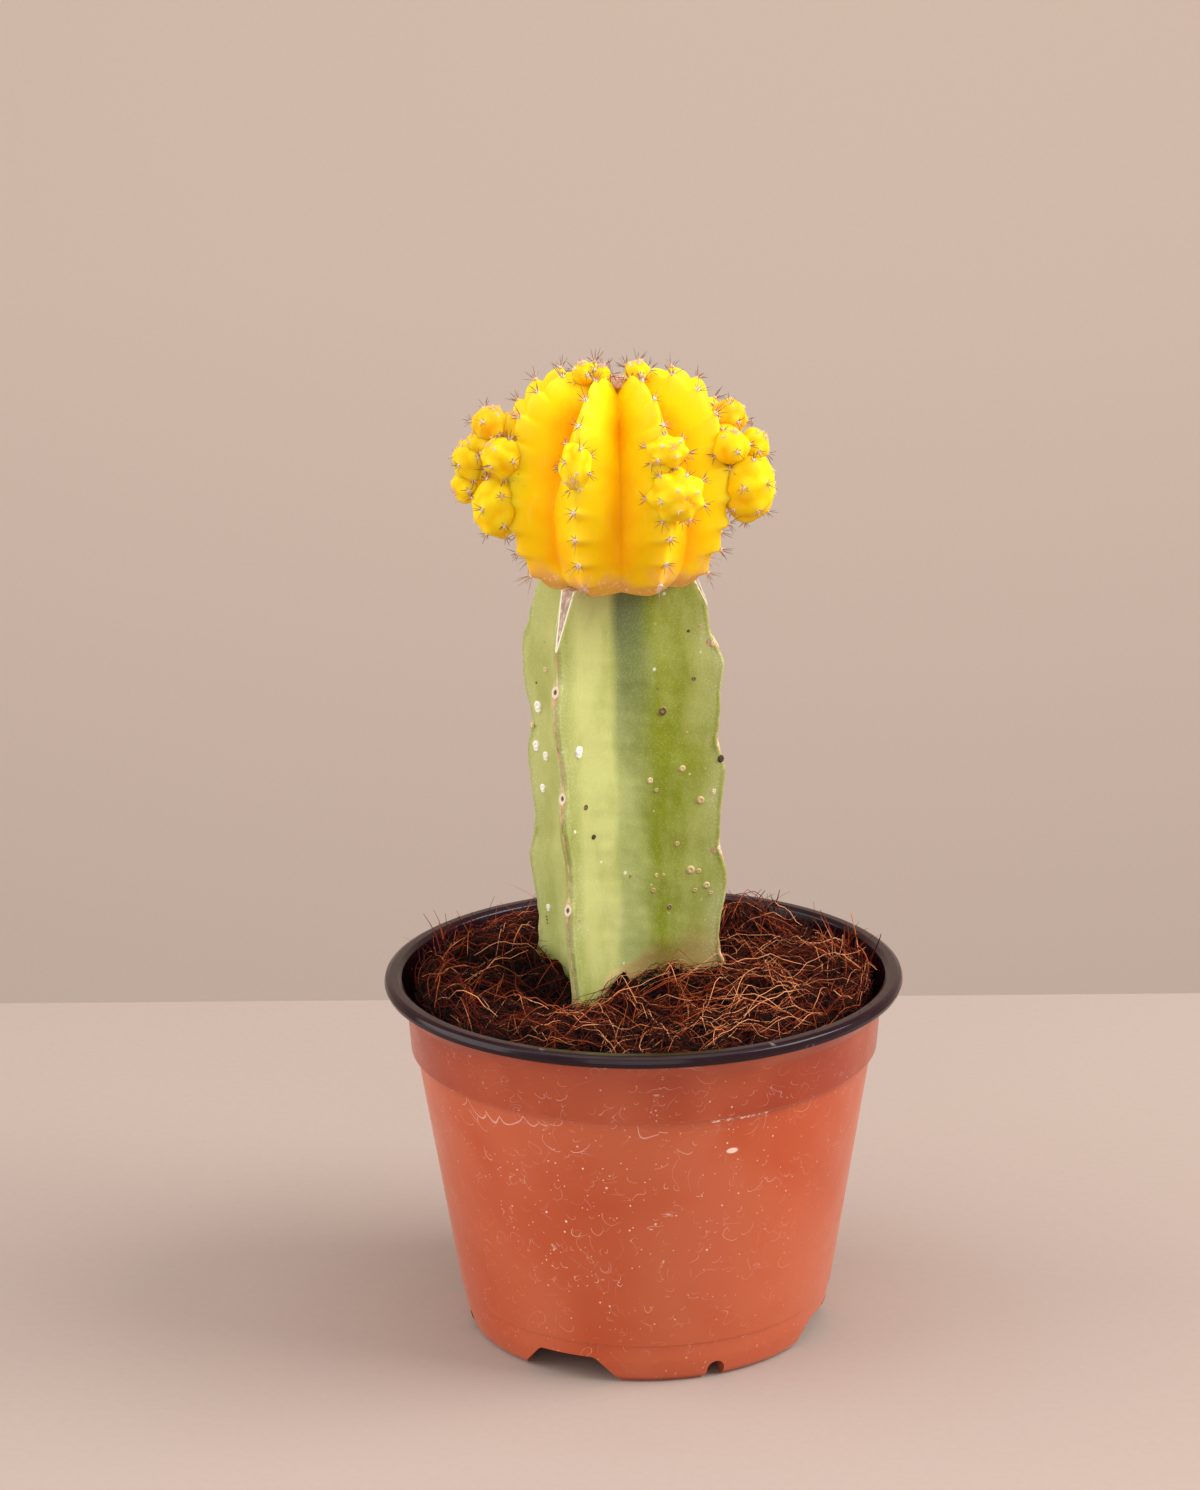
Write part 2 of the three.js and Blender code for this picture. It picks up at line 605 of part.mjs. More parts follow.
function coirBody() {
  const floor = PANEL_UNDERSIDE + PANEL_THICKNESS;
  const clear = WALL + COIR_GAP;
  const side = [
    { r: FOOT_RING.radius - clear - FOOT_DRAFT, z: floor },
    { r: FOOT_RING.radius - clear, z: FOOT_RING.z },
    { r: WALL_TOP.radius - clear, z: WALL_TOP.z - 0.3 },
    { r: COLLAR_BOTTOM.radius - clear, z: COLLAR_BOTTOM.z + 0.5 },
  ];
  const spokes = Array.from({ length: COIR_SIDES }, (_, i) => (2 * Math.PI * i) / COIR_SIDES);
  const ringAt = (r, zOf) => spokes.map((a) => {
    const x = r * Math.cos(a);
    const y = r * Math.sin(a);
    return vec(x, y, zOf(x, y));
  });
  const rings = side.map((spot) => ringAt(spot.r, () => spot.z));
  const edgeHeight = (x, y) => Math.min(coirHeight(x, y) - COIR_EDGE.drop, COIR_EDGE.highest);
  rings.push(ringAt(COIR_EDGE.radius, edgeHeight));
  for (let ring = COIR_RINGS; ring >= 1; ring -= 1) {
    const r = ((COIR_EDGE.radius - COIR_EDGE.shoulder) * ring) / COIR_RINGS;
    rings.push(ringAt(r, coirHeight));
  }
  return solidOf(skin(rings, vec(0, 0, floor), vec(0, 0, coirHeight(0, 0))));
}

// Fibre: a three-sided strand swept along an arch, both ends sunk in the coir
function fibre(points, radius) {
  const path = new THREE.CatmullRomCurve3(points);
  const section = new THREE.Shape();
  for (let i = 0; i < 3; i += 1) {
    const a = (2 * Math.PI * i) / 3;
    const spot = [radius * Math.cos(a), radius * Math.sin(a)];
    if (i === 0) section.moveTo(...spot);
    else section.lineTo(...spot);
  }
  const sweep = { steps: FIBRE_STEPS, extrudePath: path, bevelEnabled: false };
  return solidOf(new THREE.ExtrudeGeometry(section, sweep));
}

function nearStem(x, y, margin) {
  const away = Math.hypot(x - STEM_CENTRE.x, y - STEM_CENTRE.y);
  const azimuth = THREE.MathUtils.radToDeg(Math.atan2(x - STEM_CENTRE.x, -(y - STEM_CENTRE.y)));
  return WINGS.some((wing) => {
    const apart = Math.abs(((azimuth - wing.azimuth + 540) % 360) - 180);
    const reach = apart < 40 ? wing.head + 2 : VALLEY_RADIUS + 5;
    return away < reach + margin;
  });
}

// Fibres that arch over the surface, and tufts that stand up from it
function coirFibres() {
  const random = seededRandom(7);
  const strands = [];
  while (strands.length < FIBRE_COUNT) {
    const r = 49 * Math.sqrt(random());
    const a = 2 * Math.PI * random();
    const turn = 2 * Math.PI * random();
    const span = 9 + 9 * random();
    const bow = (random() - 0.5) * 7;
    const rise = 1.2 + 1.8 * random();
    const x = r * Math.cos(a);
    const y = r * Math.sin(a);
    const along = [Math.cos(turn), Math.sin(turn)];
    const points = [-1, -0.45, 0.45, 1].map((t) => {
      const px = x + (along[0] * t * span) / 2 - along[1] * bow * (1 - t * t);
      const py = y + (along[1] * t * span) / 2 + along[0] * bow * (1 - t * t);
      const lift = Math.abs(t) === 1 ? -2.2 : rise;
      return vec(px, py, coirHeight(px, py) + lift);
    });
    const clear = points.every((p) => Math.hypot(p.x, p.y) < 51 && !nearStem(p.x, p.y, 0.5));
    if (clear) strands.push(fibre(points, FIBRE_RADIUS));
  }
  while (strands.length < FIBRE_COUNT + TUFT_COUNT) {
    const r = 20 + 30 * Math.sqrt(random());
    const a = 2 * Math.PI * random();
    const x = r * Math.cos(a);
    const y = r * Math.sin(a);
    const lean = [(random() - 0.5) * 6, (random() - 0.5) * 6];
    const tall = 4 + 4.5 * random();
    const base = coirHeight(x, y);
    const points = [
      vec(x, y, base - 2.5),
      vec(x + lean[0] * 0.2, y + lean[1] * 0.2, base + tall * 0.35),
      vec(x + lean[0], y + lean[1], base + tall),
    ];
    const clear = points.every((p) => Math.hypot(p.x, p.y) < 51.5 && !nearStem(p.x, p.y, 1.5));
    if (clear) strands.push(fibre(points, FIBRE_RADIUS));
  }
  return strands;
}

function buildCoir() {
  let coir = coirBody();
  for (const strand of coirFibres()) {
    coir = coir.add(strand);
  }
  return coir.subtract(stemLoft(STEM_BOTTOM, 108, STEM_CLEARANCE));
}

const group = new THREE.Group();
group.add(meshOf('pot', buildPot(), 0xc4573a, 0.5));
group.add(meshOf('coir_substrate', buildCoir(), 0x6b3520, 0.95));
group.add(meshOf('rootstock', buildRootstock(), 0x8fae5a, 0.55));
group.add(meshOf('scion', buildScion(), 0xffc400, 0.45));

export default group;
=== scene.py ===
"""Looks of the potted moon cactus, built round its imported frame.

Lengths are millimetres unless a name says metres. +Z is up and -Y is the front, as in the frame.
An azimuth is counted in degrees from the front towards +X.
"""

import logging
import math
from collections.abc import Callable, Sequence
from dataclasses import dataclass, field
from enum import Enum
from functools import partial, reduce
from typing import ClassVar

import bpy
import numpy as np
from mathutils import Matrix, Vector


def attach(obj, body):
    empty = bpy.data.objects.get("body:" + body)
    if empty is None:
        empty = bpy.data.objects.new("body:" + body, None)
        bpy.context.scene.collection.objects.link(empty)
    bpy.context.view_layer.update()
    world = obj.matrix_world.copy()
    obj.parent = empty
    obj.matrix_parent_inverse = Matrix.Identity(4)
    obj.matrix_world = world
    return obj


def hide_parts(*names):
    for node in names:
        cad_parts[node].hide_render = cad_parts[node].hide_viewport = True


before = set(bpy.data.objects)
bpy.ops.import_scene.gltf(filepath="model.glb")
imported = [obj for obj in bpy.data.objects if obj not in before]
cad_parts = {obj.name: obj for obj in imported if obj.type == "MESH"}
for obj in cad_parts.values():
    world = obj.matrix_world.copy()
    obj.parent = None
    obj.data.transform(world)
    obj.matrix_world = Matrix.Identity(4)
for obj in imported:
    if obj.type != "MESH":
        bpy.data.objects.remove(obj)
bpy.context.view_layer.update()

MM = 0.001
BODY = "root"
UP = np.array((0.0, 0.0, 1.0))
UP_VECTOR = Vector((0, 0, 1))
Pair = tuple[float, float]
Triple = tuple[float, float, float]
Stops = tuple[tuple[float, str], ...]
Socket = bpy.types.NodeSocket
Adder = Callable[..., Socket]
Fixed = ClassVar[dict[str, object]]
log = logging.getLogger("moon_cactus")


def linear(code: str) -> tuple[float, float, float, float]:
    """Turns an sRGB hex colour to linear light.

    Args:
        code: The colour as #RRGGBB.

    Returns:
        Red, green, blue and an alpha of 1, as Blender's sockets take them.
    """
    channels = [int(code[i:i + 2], 16) / 255 for i in (1, 3, 5)]
    flat = [c / 12.92 if c <= 0.04045 else ((c + 0.055) / 1.055) ** 2.4 for c in channels]
    return flat[0], flat[1], flat[2], 1.0


def pitch(size: float) -> float:
    """Texture scale, in cycles a metre, of a pattern that repeats every size millimetres."""
    return 1 / (size * MM)


def add_node(tree: bpy.types.NodeTree, kind: str, inputs: dict[str | int, object] | Sequence[object] = (),
             out: int | str = 0, **settings: object) -> Socket | None:
    """Adds a node to a tree with its settings and links.

    Args:
        tree: The node tree of a material or of Geometry Nodes.
        kind: Blender's name of the node's type, a shader's without ShaderNode in front, and after
            a dot its operation.
        inputs: Outputs to link from or fixed values, by the input's name or number, or in order.
            A word that starts with # is a colour.
        out: Name or number of the output wanted.
        settings: The node's own properties. "stops" gives a colour ramp its places and colours.

    Returns:
        That output, or None from a node without one.
    """
    kind, _, operation = kind.partition(".")
    full = kind if kind.startswith(("Geometry", "Function", "Node")) else "ShaderNode" + kind
    node = tree.nodes.new(full)
    stops = settings.pop("stops", ())
    for name, value in (settings | ({"operation": operation} if operation else {})).items():
        setattr(node, name, value)
    for number, (place, code) in enumerate(stops):
        elements = node.color_ramp.elements
        element = elements[number] if number < len(elements) else elements.new(1.0)
        element.position, element.color = place, linear(code)
    for name, value in (inputs if isinstance(inputs, dict) else dict(enumerate(inputs))).items():
        if isinstance(value, Socket):
            tree.links.new(value, node.inputs[name])
        else:
            colour = isinstance(value, str) and value.startswith("#")
            node.inputs[name].default_value = linear(value) if colour else value
    return node.outputs[out] if node.outputs else None


def coats(add: Adder, colour: Socket | str, *layers: tuple[Socket, Socket | str]) -> Socket:
    """Lays coats of colour over a first one.

    Args:
        add: Adds a node to the material's tree.
        colour: The first colour.
        layers: Each coat's mask and colour, from the lowest up.

    Returns:
        The colour that shows.
    """
    for mask, over in layers:
        colour = add("Mix", {0: mask, 6: colour, 7: over}, 2, data_type="RGBA")
    return colour


def heading(azimuth: np.ndarray | float) -> np.ndarray:
    """Horizontal unit direction of an azimuth in degrees."""
    a = np.radians(azimuth)
    return np.stack((np.sin(a), -np.cos(a)), axis=-1)


def circle_of(count: int) -> np.ndarray:
    """Points of the unit circle, anticlockwise from +X."""
    turn = 2 * np.pi * np.arange(count) / count
    return np.stack((np.cos(turn), np.sin(turn)), axis=1)


def ease(value: np.ndarray | float, low: float, high: float) -> np.ndarray:
    """Smooth step from 0 at low to 1 at high."""
    t = np.clip((value - low) / (high - low), 0, 1)
    return t * t * (3 - 2 * t)


def unit(vectors: np.ndarray) -> np.ndarray:
    """The vectors along the last axis at length 1."""
    return vectors / np.linalg.norm(vectors, axis=-1, keepdims=True)


def ripple(points: np.ndarray, size: float, seed: int, waves: int = 14) -> np.ndarray:
    """Smooth, repeatable noise of about -1 to 1 with lumps of a given size.

    Args:
        points: Places in millimetres, with the coordinates on the last axis.
        size: Distance from one lump to the next.
        seed: Seed of the wave directions.
        waves: Number of plane waves that are summed.

    Returns:
        One value a place.
    """
    random = np.random.default_rng(seed)
    ways = unit(random.normal(size=(waves, points.shape[-1])))
    turns = 2 * np.pi / (size * random.uniform(0.7, 1.6, waves))
    phases = random.uniform(0, 2 * np.pi, waves)
    total = sum(np.sin(points @ way * turn + phase) for way, turn, phase in zip(ways, turns, phases))
    return total * math.sqrt(2 / waves) * 0.7


def smooth_curve(knots: np.ndarray, count: int) -> np.ndarray:
    """A Catmull-Rom curve through knots, as points that lie evenly along it.

    Args:
        knots: Points that the curve goes through.
        count: Number of points wanted.

    Returns:
        The points, from the first knot to the last.
    """
    padded = np.vstack((knots[:1], knots, knots[-1:]))
    spans = len(knots) - 1
    t = np.linspace(0, spans, 60 * spans + 1)
    i = np.minimum(t.astype(int), spans - 1)
    u = (t - i)[:, None]
    a, b, c, d = (padded[i + k] for k in range(4))
    fine = 0.5 * (2 * b + (c - a) * u + (2 * a - 5 * b + 4 * c - d) * u**2
                  + (3 * b - a - 3 * c + d) * u**3)
    travelled = np.concatenate(([0], np.cumsum(np.linalg.norm(np.diff(fine, axis=0), axis=1))))
    even = np.linspace(0, travelled[-1], count)
    return np.stack([np.interp(even, travelled, fine[:, k]) for k in range(fine.shape[1])], axis=1)


def rounded(corners: list[Triple], steps: int = 5) -> np.ndarray:
    """An open outline with its corners rounded.

    Args:
        corners: Two coordinates and the corner's radius; the two ends stay as they are.
        steps: Points to a rounded corner.

    Returns:
        The outline's points.
    """
    spots = np.array([c[:2] for c in corners], float)
    outline = [spots[0]]
    for k in range(1, len(spots) - 1):
        spot, radius = spots[k], corners[k][2]
        back, ahead = spots[k - 1] - spot, spots[k + 1] - spot
        room = 0.45 * min(np.linalg.norm(back), np.linalg.norm(ahead))
        if radius == 0:
            outline.append(spot)
            continue
        half = math.acos(float(np.clip(unit(back) @ unit(ahead), -1, 1))) / 2
        trim = min(radius / max(math.tan(half), 1e-6), room)
        start, end = spot + unit(back) * trim, spot + unit(ahead) * trim
        for t in np.linspace(0, 1, steps):
            outline.append((1 - t) ** 2 * start + 2 * t * (1 - t) * spot + t * t * end)
    outline.append(spots[-1])
    return np.array(outline)


def new_piece(name: str, points: np.ndarray, edges: Sequence, faces: Sequence, **values: np.ndarray,
              ) -> bpy.types.Object:
    """Makes a mesh and its object at the origin.

    Args:
        name: Name of both.
        points: Its vertices.
        edges: Pairs of vertex numbers.
        faces: Rows of vertex numbers.
        values: For each name, one number or one direction a vertex.

    Returns:
        The object, linked to the scene.
    """
    mesh = bpy.data.meshes.new(name)
    mesh.from_pydata((np.asarray(points, float) * MM).tolist(), edges, faces)
    for key, value in values.items():
        flat = np.asarray(value, np.float32)
        kind, slot = ("FLOAT", "value") if flat.ndim == 1 else ("FLOAT_VECTOR", "vector")
        mesh.attributes.new(key, kind, "POINT").data.foreach_set(slot, flat.ravel())
    piece = bpy.data.objects.new(name, mesh)
    bpy.context.scene.collection.objects.link(piece)
    return piece


@dataclass
class Shells:
    """Closed shells gathered into one mesh, with named values on their vertices."""

    points: list[np.ndarray] = field(default_factory=list)
    faces: list[list[int]] = field(default_factory=list)
    values: dict[str, list[np.ndarray]] = field(default_factory=dict)
    total: int = 0

    def loft(self, rings: np.ndarray, low: Triple, high: Triple, **values: np.ndarray) -> None:
        """Adds a closed skin over rings, with a pole at either end.

        Args:
            rings: Rows of points, each anticlockwise seen from the end the rows go to.
            low: Pole before the first ring.
            high: Pole after the last ring.
            values: For each name, one value for each point of each ring.
        """
        rows, count = rings.shape[:2]
        i = np.arange(count)
        j = (i + 1) % count
        faces = [np.stack((i, j, j + count, i + count), axis=1) + r * count for r in range(rows - 1)]
        quads = (np.concatenate(faces) + self.total).tolist()
        start, end, last = rows * count, rows * count + 1, (rows - 1) * count
        for corners in ((np.full(count, start), j, i), (np.full(count, end), i + last, j + last)):
            quads += (np.stack(corners, axis=1) + self.total).tolist()
        self.faces += quads
        self.points += [rings.reshape(-1, 3), np.array((low, high), float)]
        self.total += rows * count + 2
        for name, value in values.items():
            full = np.broadcast_to(value, (rows, count))
            self.values.setdefault(name, []).extend((full.ravel(), [full[0].mean(), full[-1].mean()]))

    def build(self, name: str, materials: Sequence[bpy.types.Material] = (), sharp: float | None = None,
              slots: Sequence[int] | None = None) -> bpy.types.Object:
        """Makes the mesh and its object.

        Args:
            name: Name of the object.
            materials: Its materials, in slot order.
            sharp: Angle in degrees past which an edge is drawn sharp.
            slots: Material slot of each face, if not the first.

        Returns:
            The object, at the origin, with its place in its mesh.
        """
        values = {key: np.concatenate(parts) for key, parts in self.values.items()}
        piece = new_piece(name, np.vstack(self.points), [], self.faces, **values)
        for material in materials:
            piece.data.materials.append(material)
        if slots is not None:
            piece.data.polygons.foreach_set("material_index", slots)
        smooth(piece)
        if sharp is not None:
            piece.data.set_sharp_from_angle(angle=math.radians(sharp))
        return piece


def smooth(piece: bpy.types.Object) -> None:
    """Shades a piece's faces smooth."""
    piece.data.polygons.foreach_set("use_smooth", [True] * len(piece.data.polygons))
    piece.data.update()


def settle(piece: bpy.types.Object) -> bpy.types.Object:
    """Turns a piece's modifiers into its plain mesh and takes them off.

    Args:
        piece: The object with its modifiers set.

    Returns:
        The same object with a plain mesh.
    """
    graph = bpy.context.evaluated_depsgraph_get()
    mesh = bpy.data.meshes.new_from_object(
        piece.evaluated_get(graph), preserve_all_data_layers=True, depsgraph=graph
    )
    piece.modifiers.clear()
    piece.data = mesh
    return piece


def tie(piece: bpy.types.Object, node: str) -> None:
    """Hangs a finished piece on the frame and reports it.

    Args:
        piece: The finished object.
        node: CAD node that it stands for.
    """
    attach(piece, BODY)
    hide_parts(node)
    mesh = piece.data
    triangles = sum(len(face.vertices) - 2 for face in mesh.polygons)
    log.info("%s: %d triangles, replaces %s", piece.name, triangles, node)


class SocketKind(Enum):
    """Kinds of named input that the Geometry Nodes trees here take."""

    GEOMETRY = "NodeSocketGeometry"
    WHOLE = "NodeSocketInt"
    OBJECT = "NodeSocketObject"
    MATERIAL = "NodeSocketMaterial"


class Growth:
    """A Geometry Nodes tree with named inputs, run once on a carrier mesh."""

    name = "growth"
    sockets: dict[str, SocketKind] = {}

    def __init__(self) -> None:
        """Builds the tree once, to be used for several pieces."""
        self.tree = bpy.data.node_groups.new(self.name, "GeometryNodeTree")
        for title, kind in {"Carrier": SocketKind.GEOMETRY, **self.sockets}.items():
            self.tree.interface.new_socket(title, in_out="INPUT", socket_type=kind.value)
        self.tree.interface.new_socket("Piece", in_out="OUTPUT", socket_type=SocketKind.GEOMETRY.value)
        add = partial(add_node, self.tree)
        given = add("NodeGroupInput").node.outputs
        whole = add("GeometryNodeRealizeInstances", (self.wire(add, given),))
        dressed = add("GeometryNodeSetMaterial", {"Geometry": whole, "Material": given["Finish"]})
        add("NodeGroupOutput", {"Piece": dressed})

    def wire(self, add: Adder, given: Sequence[Socket]) -> Socket:
        """Adds the nodes between the given inputs and the output that holds the grown piece."""
        raise NotImplementedError

    def grow(self, carrier: bpy.types.Object, **values: object) -> bpy.types.Object:
        """Runs the tree on a carrier and keeps the result as the carrier's plain mesh.

        Args:
            carrier: Object whose mesh the tree starts from.
            values: One value for each named input.

        Returns:
            The finished object.
        """
        modifier = carrier.modifiers.new(self.name, "NODES")
        modifier.node_group = self.tree
        for item in self.tree.interface.items_tree:
            if item.in_out == "INPUT" and item.name in values:
                modifier[item.identifier] = values[item.name]
        return settle(carrier)


class Planting(Growth):
    """Stands a copy of a template on each point, turned to the point's aim."""

    name = "planting"
    sockets = {
        "Template": SocketKind.OBJECT,
        "Seed": SocketKind.WHOLE,
        "Finish": SocketKind.MATERIAL,
    }

    def wire(self, add: Adder, given: Sequence[Socket]) -> Socket:
        """Reads aim, girth and length from the points and places the copies.

        Args:
            add: Adds a node to the tree.
            given: The tree's inputs, by name.

        Returns:
            The output that holds the copies.
        """
        aim, girth, length = (
            add("GeometryNodeInputNamedAttribute", {"Name": key}, data_type=kind)
            for key, kind in (("aim", "FLOAT_VECTOR"), ("girth", "FLOAT"), ("length", "FLOAT")))
        spin = add("FunctionNodeRandomValue", {2: 0.0, 3: 2 * math.pi, "Seed": given["Seed"]}, 1,
                   data_type="FLOAT")
        twist = add("FunctionNodeAxisAngleToRotation", {"Axis": (0, 0, 1), "Angle": spin})
        aimed = add("FunctionNodeAlignRotationToVector", {"Vector": aim}, axis="Z")
        turned = add("FunctionNodeRotateRotation", (aimed, twist), rotation_space="LOCAL")
        shape = add("GeometryNodeObjectInfo", {"Object": given["Template"]}, "Geometry")
        return add("GeometryNodeInstanceOnPoints", {
            "Points": given["Carrier"], "Instance": shape, "Rotation": turned,
            "Scale": add("CombineXYZ", (girth, girth, length))})


class Strands(Growth):
    """Sweeps a round section along each open line of the carrier, as thick as its girth says."""

    name = "strands"
    sockets = {"Sides": SocketKind.WHOLE, "Finish": SocketKind.MATERIAL}

    def wire(self, add: Adder, given: Sequence[Socket]) -> Socket:
        """Turns the lines to curves and skins them.

        Args:
            add: Adds a node to the tree.
            given: The tree's inputs, by name.

        Returns:
            The output that holds the skinned strands.
        """
        girth = add("GeometryNodeInputNamedAttribute", {"Name": "girth"}, data_type="FLOAT")
        lines = add("GeometryNodeMeshToCurve", {"Mesh": given["Carrier"]})
        section = add("GeometryNodeCurvePrimitiveCircle", {"Resolution": given["Sides"], "Radius": MM})
        return add("GeometryNodeCurveToMesh", {
            "Curve": lines, "Profile Curve": section, "Scale": girth, "Fill Caps": True})


@dataclass
class Points:
    """Places that copies of a template stand on."""

    rows: list[tuple] = field(default_factory=list)

    def put(self, at: np.ndarray, aim: np.ndarray, girth: float, length: float, tone: float) -> None:
        """Adds one place, with its outward direction, sizes and tone from 0 to 1."""
        self.rows.append((at, unit(np.asarray(aim, float)), girth, length, tone))

    def carrier(self, name: str) -> bpy.types.Object:
        """A mesh of loose vertices that holds the places and their values."""
        at, aim, girth, length, tone = (np.array(column, float) for column in zip(*self.rows))
        return new_piece(name, at, [], [], girth=girth, length=length, tone=tone, aim=aim)


def template(name: str, rings: list[Pair], sides: int, bend: float = 0.0, rough: float = 0.0,
             seed: int = 0) -> bpy.types.Object:
    """A small turned shape of unit size that is copied many times.

    Args:
        name: Name of the object.
        rings: Radius and height of each ring, from the root to the tip.
        sides: Points to a ring.
        bend: Sideways shift of the tip, for a curved needle.
        rough: Share by which each point's distance may vary.
        seed: Seed of that variation.

    Returns:
        The object, with "along" from 0 at the root to 1 at the tip. It is removed after use.
    """
    random = np.random.default_rng(seed)
    spots = np.array(rings)
    layers = np.zeros((len(spots), sides, 3))
    layers[..., :2] = spots[:, None, :1] * circle_of(sides)
    layers[..., 2] = spots[:, 1:]
    layers = layers * (1 + rough * random.uniform(-1, 1, layers.shape))
    layers[..., 0] += bend * spots[:, 1:] ** 2
    shell = Shells()
    poles = [(bend * z * z, 0, z) for z in (spots[0, 1], spots[-1, 1] + 0.02)]
    shell.loft(layers, *poles, along=np.clip(spots[:, 1:], 0, 1) * np.ones(sides))
    piece = shell.build(name)
    piece.hide_render = True
    return piece


class Garden:
    """The two Geometry Nodes trees, shared by every sub-assembly."""

    def __init__(self) -> None:
        """Builds both trees."""
        self.planting = Planting()
        self.strands = Strands()

    def plant(self, name: str, points: Points, shape: bpy.types.Object, finish: bpy.types.Material,
              seed: int) -> bpy.types.Object:
        """Stands copies of a shape of unit size on points, each spun about its axis by the seed."""
        return self.planting.grow(points.carrier(name), Template=shape, Seed=seed, Finish=finish)

    def sweep(self, name: str, lines: np.ndarray, girth: np.ndarray, tone: np.ndarray, sides: int,
              finish: bpy.types.Material) -> bpy.types.Object:
        """Skins open lines of equal point counts.

        Args:
            name: Name of the piece.
            lines: Points of each line, as strands, steps and coordinates.
            girth: Radius at each point.
            tone: Tone of each strand, 0 to 1.
            sides: Sides of the section.
            finish: Material of the strands.

        Returns:
            The finished piece.
        """
        strands, steps = lines.shape[:2]
        number = np.arange(strands * steps).reshape(strands, steps)
        edges = np.stack((number[:, :-1].ravel(), number[:, 1:].ravel()), axis=1).tolist()
        piece = new_piece(name, lines.reshape(-1, 3), edges, [], girth=girth.ravel(),
                          tone=np.repeat(tone, steps), along=np.tile(np.linspace(0, 1, steps), strands))
        grown = self.strands.grow(piece, Sides=sides, Finish=finish)
        smooth(grown)
        return grown


@dataclass(frozen=True)
class Finish:
    """What every finish has: a name, a roughness and an index of refraction."""

    name: str
    roughness: float = 0.5
    ior: float = 1.45
    fixed: Fixed = {}

    def make(self) -> bpy.types.Material:
        """Builds the material: a Principled shader with fixed values under what paint gives.

        Returns:
            The material.
        """
        material = bpy.data.materials.new(self.name)
        material.use_nodes = True
        material.node_tree.nodes.clear()
        add = partial(add_node, material.node_tree)
        inputs = {"Roughness": self.roughness, "IOR": self.ior, **self.fixed, **self.paint(add)}
        add("OutputMaterial", {"Surface": add("BsdfPrincipled", inputs)})
        return material

    def paint(self, add: Adder) -> dict[str, Socket]:
        """The outputs that drive the shader, by the name of its input."""
        raise NotImplementedError


